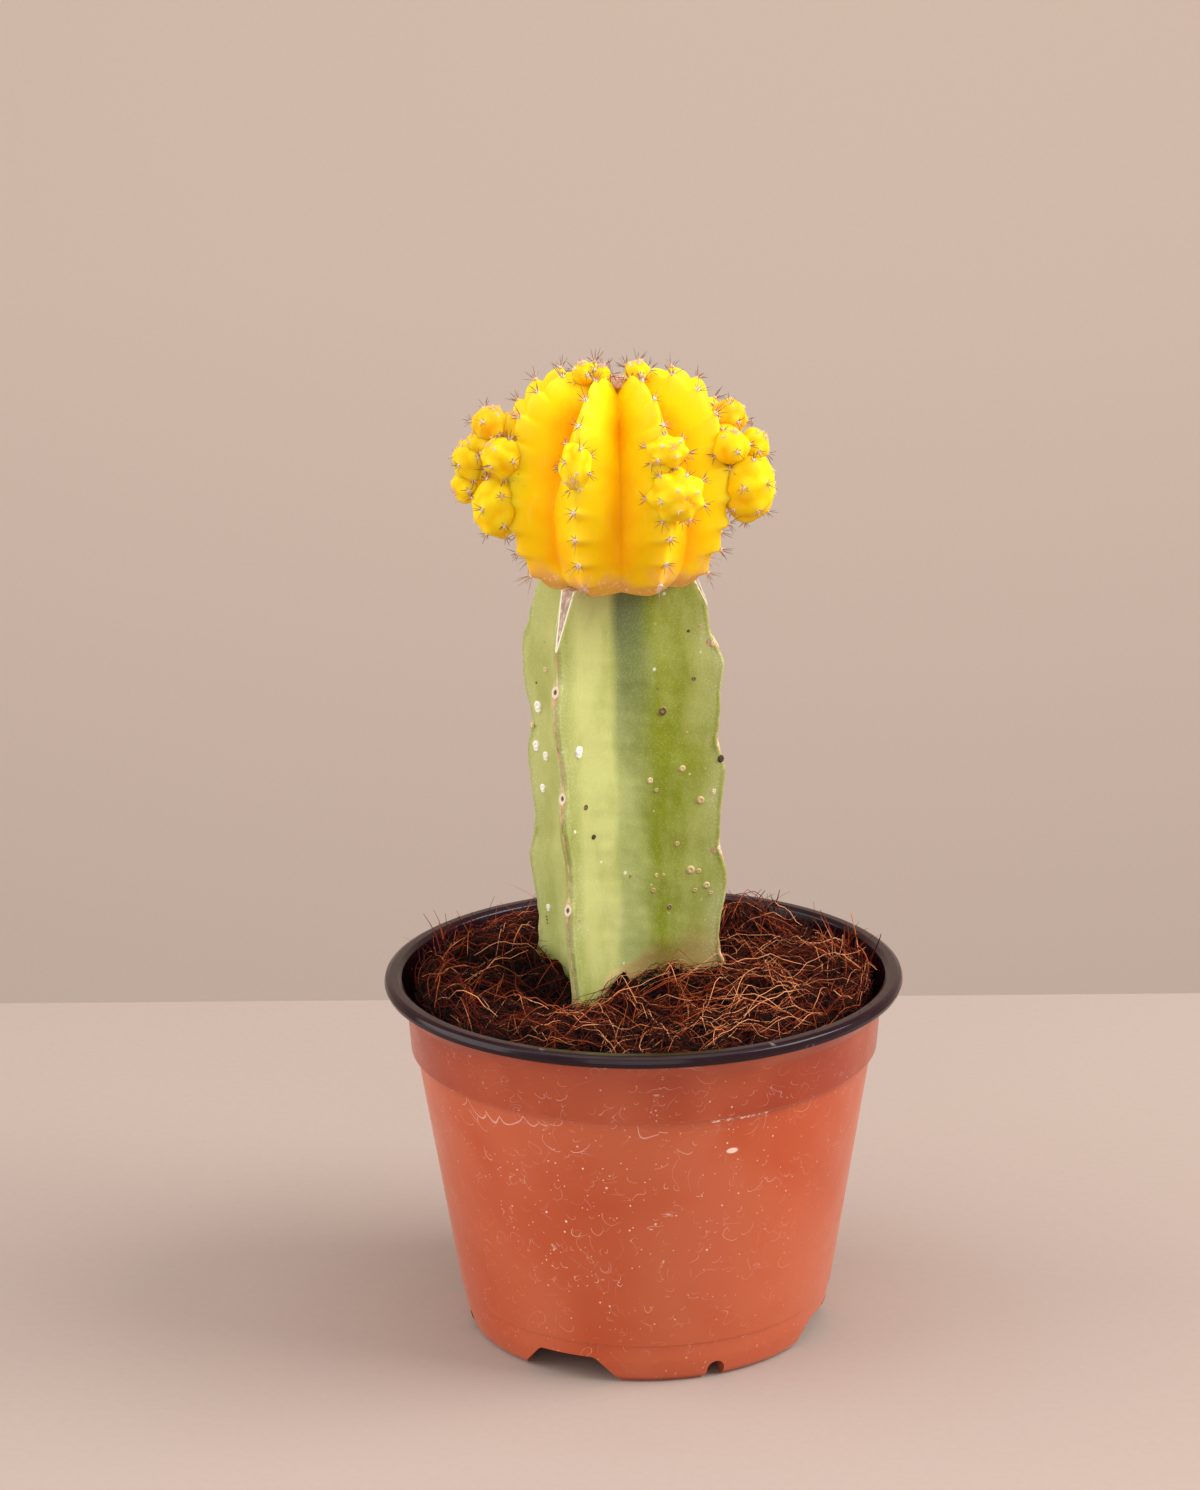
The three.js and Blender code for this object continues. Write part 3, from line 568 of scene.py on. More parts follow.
# Thermoformed polypropylene sheet, the pot's outer layer: a soft satin sheen over saturated
# orange-brown, milky at grazing angles, with fine pale scuffs and dried water marks, and a painted
# shade on the collar under the rim. The scuffs are drawn about twice as wide as real ones, so that
# they show in the render.
@dataclass(frozen=True)
class TerracottaSheet(Finish):
    """The pot's outer layer."""

    name: str = "terracotta_polypropylene_sheet"
    roughness: float = 0.38
    ior: float = 1.49
    deep: str = "#BD4B1C"
    fair: str = "#C65E37"
    # Colour of the painted shade on the collar, under the rim's overhang.
    rim_shade: str = "#9C3004"
    mark: str = "#FFDECF"
    around: float = 50.0
    clouds: float = 38.0
    collar: Pair = (66.6, 68.4)
    scuffed: Triple = (-2.0, 42.0, 0.0)
    scuffed_reach: Pair = (50.0, 12.0)
    scratches: tuple[Pair, ...] = ((6.5, 0.006), (12.0, 0.003))
    arcs: tuple[Triple, ...] = ((5.8, 0.013, 0.62), (2.8, 0.02, 0.68))
    specks: tuple[Triple, ...] = ((1.3, 0.11, 0.74), (2.7, 0.08, 0.5), (5.5, 0.05, 0.4))
    blot: Triple = (19.3, 58.9, 1.35)
    crust: Pair = (13.5, 27.5)
    crust_level: Pair = (66.5, 67.6)
    drips: tuple[Pair, ...] = ((-45.0, -21.0), (-3.0, 5.0))
    drip_pitch: float = 5.2
    drip_top: float = 67.2
    drip_bound: float = 66.9
    fixed: Fixed = {
        "Coat Weight": 0.35, "Coat Roughness": 0.26,
        "Sheen Weight": 0.2, "Sheen Roughness": 0.35, "Sheen Tint": "#FFC9B4"}

    def line(self, add: Adder, value: Socket, level: Socket | float, edge: float, full: float) -> Socket:
        """A thin line where a value nears a level: it begins at edge from it and is whole at full."""
        near = add("Math.ABSOLUTE", (add("Math.SUBTRACT", (value, level)),))
        return add("MapRange", (near, edge, full))

    def curl(self, add: Adder, place: Socket, size: float, width: float) -> Socket:
        """Short curled scratches: pieces of the level line of a noise.

        Args:
            add: Adds a node to the material's tree.
            place: Coordinates.
            size: Size of the curls.
            width: Width of the line, as a share of the noise's range.

        Returns:
            The mask's output.
        """
        noise = add("TexNoise", {"Vector": place, "Scale": pitch(size), "Detail": 1.0, "Distortion": 1.2})
        broken = add("TexNoise", {"Vector": place, "Scale": pitch(size * 0.8), "Detail": 0.0})
        kept = add("MapRange", (broken, 0.57, 0.64, 0.0, 0.55))
        return add("Math.MULTIPLY", (self.line(add, noise, 0.5, width, width * 0.3), kept))

    def hooks(self, add: Adder, place: Socket, size: float, width: float, share: float) -> Socket:
        """Fine open arcs that hang like the edge of a dried drop, one in some cells of a pattern.

        Args:
            add: Adds a node to the material's tree.
            place: Coordinates.
            size: Size of a cell.
            width: Width of the line, as a share of its cell.
            share: Share of the cells that stay empty.

        Returns:
            The mask's output.
        """
        cells = add("TexVoronoi", {"Vector": place, "Scale": pitch(size)},
                    voronoi_dimensions="2D").node.outputs
        big, kept, turned = add("SeparateColor", (cells[1],)).node.outputs
        radius = add("MapRange", (big, 0.0, 1.0, 0.08, 0.4))
        line = self.line(add, cells[0], radius, width, width * 0.3)
        x, y, _ = add("SeparateXYZ", (add("VectorMath.SUBTRACT", (place, cells[2])),)).node.outputs
        level = add("Math.MULTIPLY_ADD", (x, add("MapRange", (turned, 0.0, 1.0, -1.2, 1.2)), y))
        lower = add("MapRange", (level, 0.0, -0.1 * size * MM))
        some = add("MapRange", (kept, share, share + 0.33))
        return add("Math.MULTIPLY", (add("Math.MULTIPLY", (line, lower)), some))

    def spots(self, add: Adder, place: Socket, size: float, dot: float, share: float) -> Socket:
        """Small pale specks, one in some of the cells of a pattern.

        Args:
            add: Adds a node to the material's tree.
            place: Coordinates.
            size: Size of a cell.
            dot: Radius of a speck, as a share of its cell.
            share: Share of the cells that stay empty.

        Returns:
            The mask's output.
        """
        cells = add("TexVoronoi", {"Vector": place, "Scale": pitch(size)}).node.outputs
        some = add("MapRange", (add("SeparateColor", (cells[1],)), share, share + 0.05))
        return add("Math.MULTIPLY", (add("MapRange", (cells[0], dot * 1.3, dot * 0.8)), some))

    def between(self, add: Adder, place: Socket, low: float, high: float) -> Socket:
        """Where a coordinate in metres lies between two bounds in millimetres."""
        edges = ((low, low + 0.2), (high, high - 0.2))
        return add("Math.MULTIPLY", [add("MapRange", (place, a * MM, b * MM)) for a, b in edges])

    def dried(self, add: Adder, arc: Socket, z: Socket, flat: Socket, bent: Socket) -> Socket:
        """Dried water: drips under the collar, a crust on its edge and one pale blot.

        Args:
            add: Adds a node to the material's tree.
            arc: Distance round the pot.
            z: Height.
            flat: Both as one vector.
            bent: The same, slightly wandering.

        Returns:
            The mask's output.
        """
        across, up, _ = add("SeparateXYZ", (bent,)).node.outputs
        drops = add("TexVoronoi", {"W": across, "Scale": pitch(self.drip_pitch)},
                    voronoi_dimensions="1D").node.outputs
        length = add("SeparateColor", (drops[1],))
        hang = add("Math.MULTIPLY_ADD", (length, -2.6 * MM, self.drip_top * MM))
        low = add("Math.MULTIPLY_ADD", (add("Math.POWER", (drops[0], 2.0)), 8 * MM, hang))
        film = self.line(add, up, low, 0.24 * MM, 0.06 * MM)
        held = reduce(lambda one, other: add("Math.MAXIMUM", (one, other)),
                      [self.between(add, arc, *span) for span in self.drips])
        under = add("Math.LESS_THAN", (z, self.drip_bound * MM))
        lower = add("Math.MULTIPLY", (add("Math.MULTIPLY", (film, held)), under))
        drip = add("Math.MULTIPLY", (lower, 0.45))

        x, level, wide = (size * MM for size in self.blot)
        off = add("VectorMath.SUBTRACT", (flat, (x, level, 0.0)))
        oval = add("VectorMath.MULTIPLY", (off, (1 / wide, 2 / wide, 0.0)))
        blot = add("MapRange", (add("VectorMath.LENGTH", (oval,), "Value"), 1.1, 0.85, 0.0, 0.9))

        lime = add("TexNoise", {"Vector": flat, "Scale": pitch(1.1), "Detail": 3.0, "Roughness": 0.7})
        along = add("Math.MULTIPLY", [
            self.between(add, *span) for span in ((z, *self.crust_level), (arc, *self.crust))])
        crust = add("Math.MULTIPLY", (along, add("MapRange", (lime, 0.48, 0.56, 0.0, 0.95))))
        return add("Math.MAXIMUM", (add("Math.MAXIMUM", (drip, crust)), blot))

    def paint(self, add: Adder) -> dict[str, Socket]:
        """Paints on cylinder coordinates, arc length and height: clouds, painted shade under the rim and
        marks.

        Args:
            add: Adds a node to the material's tree.

        Returns:
            The shader's inputs that it drives.
        """
        place = add("TexCoord", out="Object")
        x, y, z = add("SeparateXYZ", (place,)).node.outputs
        turn = add("Math.ARCTAN2", (x, add("Math.MULTIPLY", (y, -1.0))))
        arc = add("Math.MULTIPLY", (turn, self.around * MM))
        flat = add("CombineXYZ", (arc, z))

        clouds = add("TexNoise", {"Vector": place, "Scale": pitch(self.clouds), "Distortion": 0.4})
        shade = add("MapRange", (clouds, 0.38, 0.62))
        # Painted shade: the collar, which lies in the rim's shadow, is darkened in patches.
        above = add("MapRange", (z, self.collar[0] * MM, self.collar[1] * MM))
        rim_shade = add("Math.MULTIPLY", (above, add("MapRange", (clouds, 0.66, 0.4, 0.35, 1.0))))

        middle = add("VectorMath.DISTANCE", (flat, [c * MM for c in self.scuffed]), "Value")
        far, close = self.scuffed_reach
        near = add("MapRange", (middle, far * MM, close * MM, 0.3, 1.25))
        uneven = add("MapRange", (clouds, 0.4, 0.6, 1.0, 0.6))
        dense = add("Math.MULTIPLY", (near, uneven), use_clamp=True)
        wander = add("TexNoise", {"Vector": flat, "Scale": pitch(6), "Detail": 0.0}, 1)
        bent = add("VectorMath.MULTIPLY_ADD", (wander, (4 * MM, 4 * MM, 0.0), flat))
        masks = [self.curl(add, flat, *sizes) for sizes in self.scratches]
        masks += [self.hooks(add, bent, *sizes) for sizes in self.arcs]
        masks += [self.spots(add, flat, *sizes) for sizes in self.specks]
        worn = reduce(lambda one, other: add("Math.MAXIMUM", (one, other)), masks)
        marks = add("Math.MULTIPLY", (worn, dense))
        marked = add("Math.MAXIMUM", (marks, self.dried(add, arc, z, flat, bent)))

        gloss = add("TexNoise", {"Vector": place, "Scale": pitch(9), "Detail": 3.0})
        satin = add("MapRange", (gloss, 0.3, 0.7, self.roughness - 0.06, self.roughness + 0.08))
        grain = add("TexNoise", {"Vector": place, "Scale": pitch(1.4)})
        raised = add("Math.MULTIPLY_ADD", (marked, 0.6, grain))
        return {
            "Base Color": coats(
                add, self.deep, (shade, self.fair), (rim_shade, self.rim_shade), (marked, self.mark)),
            "Roughness": satin,
            "Normal": add("Bump", {"Strength": 0.25, "Distance": 0.06 * MM, "Height": raised})}


# The sheet's inner layer, black polypropylene: it shows on the rolled rim and inside, a cool
# purplish black with a long soft highlight and a few pale rubs.
@dataclass(frozen=True)
class BlackSheet(Finish):
    """The pot's inner layer and rim."""

    name: str = "black_polypropylene_sheet"
    roughness: float = 0.17
    ior: float = 1.49
    colour: str = "#200811"
    rub: str = "#9A8C92"
    fixed: Fixed = {"Specular IOR Level": 0.3}

    def paint(self, add: Adder) -> dict[str, Socket]:
        """Paints the scuffs, about 5 mm apart.

        Args:
            add: Adds a node to the material's tree.

        Returns:
            The shader's inputs that it drives.
        """
        place = add("TexCoord", out="Object")
        noise = add("TexNoise", {"Vector": place, "Scale": pitch(5), "Detail": 4.0, "Roughness": 0.6})
        scuff = add("MapRange", (noise, 0.66, 0.74, 0.0, 0.5))
        return {
            "Base Color": coats(add, self.colour, (scuff, self.rub)),
            "Roughness": add("MapRange", (noise, 0.3, 0.7, self.roughness - 0.08, self.roughness + 0.1))}


# Coir dust and short fibre: dry, matt, dark red-brown crumb with a little lighter pith.
@dataclass(frozen=True)
class CoirCrumb(Finish):
    """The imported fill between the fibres."""

    name: str = "coir_pith_crumb"
    roughness: float = 0.95
    ior: float = 1.3
    stops: Stops = ((0.0, "#040000"), (0.45, "#120300"), (0.66, "#391003"), (1.0, "#702808"))
    grain: float = 1.1
    fixed: Fixed = {"Specular IOR Level": 0.05}

    def paint(self, add: Adder) -> dict[str, Socket]:
        """Paints lumps of crumb and raises its grains.

        Args:
            add: Adds a node to the material's tree.

        Returns:
            The shader's inputs that it drives.
        """
        place = add("TexCoord", out="Object")
        coarse, fine = (
            add("TexNoise", {"Vector": place, "Scale": pitch(size), "Detail": detail, "Roughness": 0.7})
            for size, detail in ((self.grain * 4, 6.0), (self.grain, 3.0)))
        return {
            "Base Color": add("ValToRGB", (coarse,), stops=self.stops),
            "Normal": add("Bump", {"Strength": 0.9, "Distance": 0.7 * MM, "Height": fine})}


# Coconut husk fibre: wiry and slightly waxy, from dark umber through rust to straw.
@dataclass(frozen=True)
class HuskFibre(Finish):
    """Single fibres, by tone."""

    name: str = "coconut_husk_fibre"
    roughness: float = 0.62
    ior: float = 1.5
    stops: Stops = (
        (0.0, "#0C0100"), (0.4, "#300701"), (0.7, "#78230A"), (0.88, "#B85A28"), (1.0, "#F2A672"))
    fixed: Fixed = {"Specular IOR Level": 0.15}

    def paint(self, add: Adder) -> dict[str, Socket]:
        """Paints each fibre by its tone, slightly patchy along it.

        Args:
            add: Adds a node to the material's tree.

        Returns:
            The shader's inputs that it drives.
        """
        tone = add("Attribute", out="Fac", attribute_name="tone")
        noise = add("TexNoise", {"Vector": add("TexCoord", out="Object"), "Scale": pitch(3)})
        even = add("Math.SUBTRACT", (add("Math.MULTIPLY_ADD", (noise, 0.3, tone)), 0.15))
        return {"Base Color": add("ValToRGB", (even,), stops=self.stops)}


# Skin of the rootstock: a waxy green rind with a fine pale bloom, cork on its margins and where the
# margins were shaved off below the graft, and a painted shadow of the scion at the top of its valleys.
# The bloom's grains are drawn coarser than real ones, so that they show in the render.
@dataclass(frozen=True)
class WaxyRind(Finish):
    """The rootstock's skin, cork and cuts."""

    name: str = "waxy_green_rind"
    roughness: float = 0.52
    ior: float = 1.42
    pale: str = "#C1C377"
    olive: str = "#828A16"
    valley: str = "#919D6F"
    # Colour and heights of the painted shadow that the scion casts into the top of the valleys.
    scion_shadow: str = "#58623F"
    scion_shadow_levels: Pair = (130.0, 172.0)
    edge: str = "#B6B87B"
    foot: str = "#D6BE7E"
    soil: str = "#8E6A34"
    bloom: str = "#E4E8CC"
    wood: Stops = ((0.3, "#9C7850"), (0.5, "#CAA478"), (0.72, "#E4CDA8"))
    lip: str = "#EAD9BC"
    knot: str = "#4A3628"
    sawn: Stops = ((0.35, "#9A7F6E"), (0.5, "#B59A88"), (0.7, "#DCC8B2"))
    border: str = "#F1E6D4"
    border_width: float = 0.34
    fixed: Fixed = {
        "Subsurface Weight": 0.12, "Subsurface Scale": 0.0015, "Subsurface Radius": (0.6, 1.0, 0.3),
        "Specular IOR Level": 0.3}

    def within(self, add: Adder, side: Socket, bound: Socket, inset: float = 0.0) -> Socket:
        """Where the distance from a wing's middle is less than a bound that an inset narrows."""
        return add("MapRange", (add("Math.SUBTRACT", (bound, side)), inset, inset + 0.1))

    def paint(self, add: Adder) -> dict[str, Socket]:
        """Paints by the values that the stem's sections and its foot give.

        Args:
            add: Adds a node to the material's tree.

        Returns:
            The shader's inputs that it drives.
        """
        place = add("TexCoord", out="Object")
        tone, valley, edge, foot, side, seam, room, knot, cut = (
            add("Attribute", out="Fac", attribute_name=key)
            for key in ("tone", "valley", "edge", "foot", "side", "seam", "room", "knot", "cut"))
        upright, grain = (
            add("Mapping", {"Vector": place, "Scale": (1.0, 1.0, squash)}) for squash in (0.4, 0.3))
        cloud = add("TexNoise", {
            "Vector": upright, "Scale": pitch(7.5), "Detail": 4.0, "Roughness": 0.55})
        drift = add("MapRange", (cloud, 0.36, 0.64, -0.24, 0.2))
        # Painted shadow: the valley band darkens towards the graft, under the scion.
        low, high = (level * MM for level in self.scion_shadow_levels)
        top = add("MapRange", (add("SeparateXYZ", (place,), 2), low, high, 0.0, 0.85))
        hazed = add("Math.MULTIPLY", (edge, add("MapRange", (cloud, 0.35, 0.65, 0.1, 0.6))))
        dust, cells = (add("TexVoronoi", {"Vector": place, "Scale": pitch(size)}) for size in (0.55, 7))
        powder = add("Math.MULTIPLY_ADD", (hazed, 0.5, 0.1))
        dusty = add("Math.MULTIPLY", (add("MapRange", (dust, 0.45, 0.15)), powder))

        fibre = add("TexNoise", {"Vector": grain, "Scale": pitch(0.8), "Detail": 4.0, "Roughness": 0.65})
        cork = self.within(add, side, seam)
        wound = add("Math.MULTIPLY", (self.within(add, side, room), cut))
        core = self.within(add, side, room, self.border_width)
        colour = coats(
            add, self.olive,
            (add("Math.ADD", (tone, drift), use_clamp=True), self.pale),
            (add("Math.MULTIPLY", (valley, 0.35)), self.valley),
            (add("Math.MULTIPLY", (valley, top)), self.scion_shadow),
            (hazed, self.edge),
            (foot, coats(add, self.soil, (tone, self.foot))),
            (dusty, self.bloom),
            (add("MapRange", (cells, 0.08, 0.05, 0.0, 0.7)), self.bloom),
            (cork, add("ValToRGB", (fibre,), stops=self.wood)),
            (add("MapRange", (knot, 0.2, 0.32, 0.0, 0.85)), self.lip),
            (add("MapRange", (knot, 0.68, 0.8, 0.0, 0.9)), self.knot),
            (wound, coats(add, self.border, (core, add("ValToRGB", (fibre,), stops=self.sawn)))))

        dry = add("Math.MAXIMUM", (cork, wound))
        pores = add("TexNoise", {"Vector": place, "Scale": pitch(0.9), "Detail": 3.0, "Roughness": 0.6})
        raised = add("Math.MULTIPLY_ADD", (add("Math.MULTIPLY", (fibre, dry)), 3.0, pores))
        return {
            "Base Color": colour,
            "Roughness": add("MapRange", (dry, 0.0, 1.0, self.roughness, 0.85)),
            "Normal": add("Bump", {"Strength": 0.35, "Distance": 0.12 * MM, "Height": raised})}


# Corky wart or scar: dry, cream to tan, darker at its centre.
@dataclass(frozen=True)
class CorkScar(Finish):
    """The small scars on the rootstock."""

    name: str = "cork_scar"
    roughness: float = 0.85
    stops: Stops = ((0.0, "#46341F"), (0.3, "#B79C66"), (0.65, "#E2CF9E"), (1.0, "#F7F2E4"))

    def paint(self, add: Adder) -> dict[str, Socket]:
        """Paints each scar by its tone, darker towards its pit.

        Args:
            add: Adds a node to the material's tree.

        Returns:
            The shader's inputs that it drives.
        """
        tone, along = (add("Attribute", out="Fac", attribute_name=key) for key in ("tone", "along"))
        noise = add("TexNoise", {"Vector": add("TexCoord", out="Object"), "Scale": pitch(0.5)})
        worn = add("Math.MULTIPLY_ADD", (noise, 0.3, tone))
        total = add("Math.ADD", (worn, add("MapRange", (along, 0.0, 1.0, -0.1, -0.65))))
        return {"Base Color": add("ValToRGB", (total,), stops=self.stops)}


# Flesh of a moon cactus, which has no chlorophyll: saturated yellow, a little light goes through its thin
# ribs, deeper orange in the grooves, partly its own colour and partly painted shade, painted highlights on
# the tubercles, painted shade under the offsets, peach-coloured cork at its foot.
@dataclass(frozen=True)
class YellowFlesh(Finish):
    """The scion's skin."""

    name: str = "yellow_cactus_flesh"
    roughness: float = 0.5
    ior: float = 1.42
    rib: Stops = ((0.0, "#FFD60A"), (0.4, "#FFD202"), (1.0, "#FFAC00"))
    orange: str = "#FB9C04"
    # Pale colour of the painted highlight on the tubercles.
    light: str = "#FFE458"
    cork: str = "#EAAA52"
    dry: str = "#FFE9C4"
    fixed: Fixed = {
        "Subsurface Weight": 0.4, "Subsurface Scale": 0.004, "Subsurface Radius": (1.0, 0.6, 0.12),
        "Specular IOR Level": 0.08}

    def paint(self, add: Adder) -> dict[str, Socket]:
        """Paints by the scion's own values: valley, height, cork and warmth, with painted light and shade
        in them.

        Args:
            add: Adds a node to the material's tree.

        Returns:
            The shader's inputs that it drives.
        """
        place = add("TexCoord", out="Object")
        valley, height, cork, warmth = (
            add("Attribute", out="Fac", attribute_name=key)
            for key in ("valley", "height", "cork", "warmth"))
        cloud = add("TexNoise", {"Vector": place, "Scale": pitch(7), "Detail": 3.0})
        drift = add("MapRange", (cloud, 0.3, 0.7, -0.16, 0.16))
        depth = add("Math.ADD", (valley, drift), use_clamp=True)
        upright = add("Mapping", {"Vector": place, "Scale": (1.0, 1.0, 0.22)})
        streak = add("TexNoise", {
            "Vector": upright, "Scale": pitch(0.9), "Detail": 4.0, "Roughness": 0.6})
        striped = add("MapRange", (streak, 0.3, 0.7, -0.25, 0.25))
        worn = add("Math.MULTIPLY_ADD", (striped, cork, cork), use_clamp=True)
        thread = add("MapRange", (streak, 0.56, 0.66, 0.0, 0.5))
        flaked = add("Math.MULTIPLY_ADD", (thread, 0.05, add("Math.MULTIPLY", (thread, cork))))
        # The ramp deepens to orange into the grooves, partly painted shade; height mixes in a painted
        # highlight on the tubercles.
        colour = coats(
            add, add("ValToRGB", (depth,), stops=self.rib),
            (warmth, self.orange),
            (add("Math.MULTIPLY", (height, 0.6)), self.light),
            (worn, self.cork),
            (flaked, self.dry))
        pores = add("TexNoise", {"Vector": place, "Scale": pitch(1.0), "Detail": 3.0, "Roughness": 0.6})
        rough = add("Math.MULTIPLY_ADD", (streak, worn, pores))
        return {
            "Base Color": colour,
            "Normal": add("Bump", {"Strength": 0.3, "Distance": 0.15 * MM, "Height": rough})}


# Areole felt: short, dry wool, off-white with a pink cast.
@dataclass(frozen=True)
class AreoleWool(Finish):
    """The wool of the areoles."""

    name: str = "areole_wool"
    roughness: float = 0.95
    white: str = "#F6E4D6"
    pink: str = "#D9A08C"
    fixed: Fixed = {
        "Sheen Weight": 0.4, "Sheen Roughness": 0.5, "Specular IOR Level": 0.1}

    def paint(self, add: Adder) -> dict[str, Socket]:
        """Paints each tuft by its tone."""
        tone = add("Attribute", out="Fac", attribute_name="tone")
        return {"Base Color": coats(add, self.white, (tone, self.pink))}


# Cactus spine: hard keratin-like needle, pinkish at its root and dark purple-brown above;
# the oldest, at the foot of the scion, have bleached to straw.
@dataclass(frozen=True)
class HornSpine(Finish):
    """The spines."""

    name: str = "horn_spine"
    roughness: float = 0.4
    ior: float = 1.54
    young: Stops = ((0.0, "#D9A58C"), (0.25, "#8A5442"), (0.65, "#55302A"), (1.0, "#3E2022"))
    old: Stops = ((0.0, "#F3DFC9"), (0.6, "#E7C8A8"), (1.0, "#B98C6E"))

    def paint(self, add: Adder) -> dict[str, Socket]:
        """Paints each spine along its length, by its age.

        Args:
            add: Adds a node to the material's tree.

        Returns:
            The shader's inputs that it drives.
        """
        tone, along = (add("Attribute", out="Fac", attribute_name=key) for key in ("tone", "along"))
        young, old = (add("ValToRGB", (along,), stops=stops) for stops in (self.young, self.old))
        return {"Base Color": coats(add, young, (tone, old))}


# Painted board under and behind the pot: matt and pale, warm grey-pink.
@dataclass(frozen=True, kw_only=True)
class PaleBoard(Finish):
    """The floor and the backdrop."""

    roughness: float = 0.9
    colour: str
    mottle: float = 2.0
    fixed: Fixed = {"Specular IOR Level": 0.2}

    def paint(self, add: Adder) -> dict[str, Socket]:
        """Paints a faint mottle.

        Args:
            add: Adds a node to the material's tree.

        Returns:
            The shader's inputs that it drives.
        """
        place = add("TexCoord", out="Object")
        noise = add("TexNoise", {"Vector": place, "Scale": pitch(self.mottle), "Detail": 4.0})
        light = add("MapRange", (noise, 0.3, 0.7, 0.985, 1.015))
        return {"Base Color": add("VectorMath.SCALE", {0: linear(self.colour)[:3], "Scale": light})}


class Layer(Enum):
    """The two layers of the pot's sheet, as material slots."""

    OUTER = 0
    INNER = 1


@dataclass
class NurseryPot:
    """Thermoformed pot with a rolled rim, a collar and a notched foot."""

    height: float = 85.4
    rim_radius: float = 60.0
    rim_inner: float = 56.0
    rim_depth: float = 2.8
    neck: float = 57.4
    collar_top: Pair = (54.9, 78.6)
    collar_bottom: Pair = (54.1, 67.8)
    wall_top: Pair = (52.75, 67.0)
    foot_ring: Pair = (43.5, 9.9)
    foot_curve: Pair = (42.7, 5.4)
    foot_radius: float = 40.4
    foot_inner: float = 38.2
    wall: float = 0.9
    panel: Pair = (6.6, 7.6)
    sides: int = 256
    wide_notches: tuple[float, ...] = (-25.5, 72.0, 165.0, -120.0)
    small_notches: tuple[float, ...] = (22.0, 118.0, -158.0, -76.0)
    wide_outline: tuple[Triple, ...] = (
        (0, -1, 0), (12.3, -1, 0), (11.7, 0.9, 1.5), (7.4, 5.6, 1.5), (6.4, 6.1, 1.2),
        (-6.4, 6.1, 1.2), (-7.4, 5.6, 1.5), (-11.7, 0.9, 1.5), (-12.3, -1, 0))
    small_half: float = 2.1
    notch_reach: Pair = (34.6, 47.0)
    drain_radius: float = 3.2
    drain_circle: float = 30.0
    drain_sides: int = 40
    sharp: float = 35.0

    def profile(self) -> tuple[np.ndarray, int]:
        """The turned profile, and where its black part begins.

        Returns:
            Points from the panel's underside round the outside, over the rim and down inside,
            and the number of the first of them on the inner layer.
        """
        thick = self.wall
        base = self.height - self.rim_depth
        outside = rounded([
            (0.0, self.panel[0], 0), (self.foot_inner - 0.6, self.panel[0], 0.5),
            (self.foot_inner, 0.0, 0.3), (self.foot_radius, 0.0, 0.5),
            (self.foot_radius + 1.3, 1.3, 1.2), (*self.foot_curve, 3.0),
            (self.foot_ring[0] - 0.22, self.foot_ring[1] - 0.35, 0.12),
            (self.foot_ring[0] + 0.22, self.foot_ring[1], 0.12),
            (self.wall_top[0] - 0.1, self.wall_top[1] - 1.1, 0.3), (*self.wall_top, 0.5),
            (*self.collar_bottom, 0.6), (*self.collar_top, 0.8), (self.neck - 0.3, base - 1.0, 0.5),
            (self.neck, base, 0.25),
        ])
        rim = rounded([
            (self.neck, base, 0), (self.rim_radius - 0.9, base + 0.05, 0.15),
            (self.rim_radius - 0.25, base + 0.25, 0.35), (self.rim_radius, base + 1.2, 0.6),
            (self.rim_radius - 0.3, self.height - 0.5, 0.6), (self.rim_radius - 1.3, self.height, 0.8),
            (self.rim_inner + 0.9, self.height, 0.7), (self.rim_inner - 0.1, self.height - 0.7, 0.6),
            (self.collar_top[0] - thick + 0.6, self.collar_top[1] + 1.5, 0.6),
            (self.collar_top[0] - thick, self.collar_top[1], 0.5),
            (self.collar_bottom[0] - thick, self.collar_bottom[1], 0.5),
            (self.wall_top[0] - thick, self.wall_top[1], 0.5),
            (self.foot_ring[0] - thick, self.foot_ring[1], 0.5),
            (self.foot_ring[0] - thick - 0.6, self.panel[1], 0.5), (0.0, self.panel[1], 0),
        ])
        return np.vstack((outside, rim[1:])), len(outside)

    def cutter(self, outline: np.ndarray, azimuth: float) -> np.ndarray:
        """A prism through the foot.

        Args:
            outline: Its outline, across and up.
            azimuth: Where it stands.

        Returns:
            Its two end rings.
        """
        way = heading(azimuth)
        across = np.array((-way[1], way[0]))
        return np.array([np.column_stack((outline[:, :1] * across + reach * way, outline[:, 1]))
                         for reach in self.notch_reach])

    def cutters(self) -> Shells:
        """Shapes the notches and the drain holes.

        Returns:
            One closed cutter for each.
        """
        half = self.small_half
        arch = np.linspace(0, np.pi, 13)
        dome = np.stack((half * np.cos(arch), half + half * np.sin(arch)), axis=1)
        small = np.vstack(([(-3.5, -1), (half, -1)], dome, [(-half, 1.4)]))
        shells = Shells()
        for outline, azimuths in (
                (rounded(self.wide_outline), self.wide_notches), (small, self.small_notches)):
            for azimuth in azimuths:
                rings = self.cutter(outline, azimuth)
                shells.loft(rings, rings[0].mean(axis=0), rings[1].mean(axis=0))
        low, high = self.panel[0] - 2, self.panel[1] + 2
        for azimuth in (*self.wide_notches, *self.small_notches):
            centre = heading(azimuth) * self.drain_circle
            circle = centre + self.drain_radius * circle_of(self.drain_sides)
            rings = np.array([np.column_stack((circle, np.full(len(circle), z))) for z in (low, high)])
            shells.loft(rings, (*centre, low), (*centre, high))
        return shells

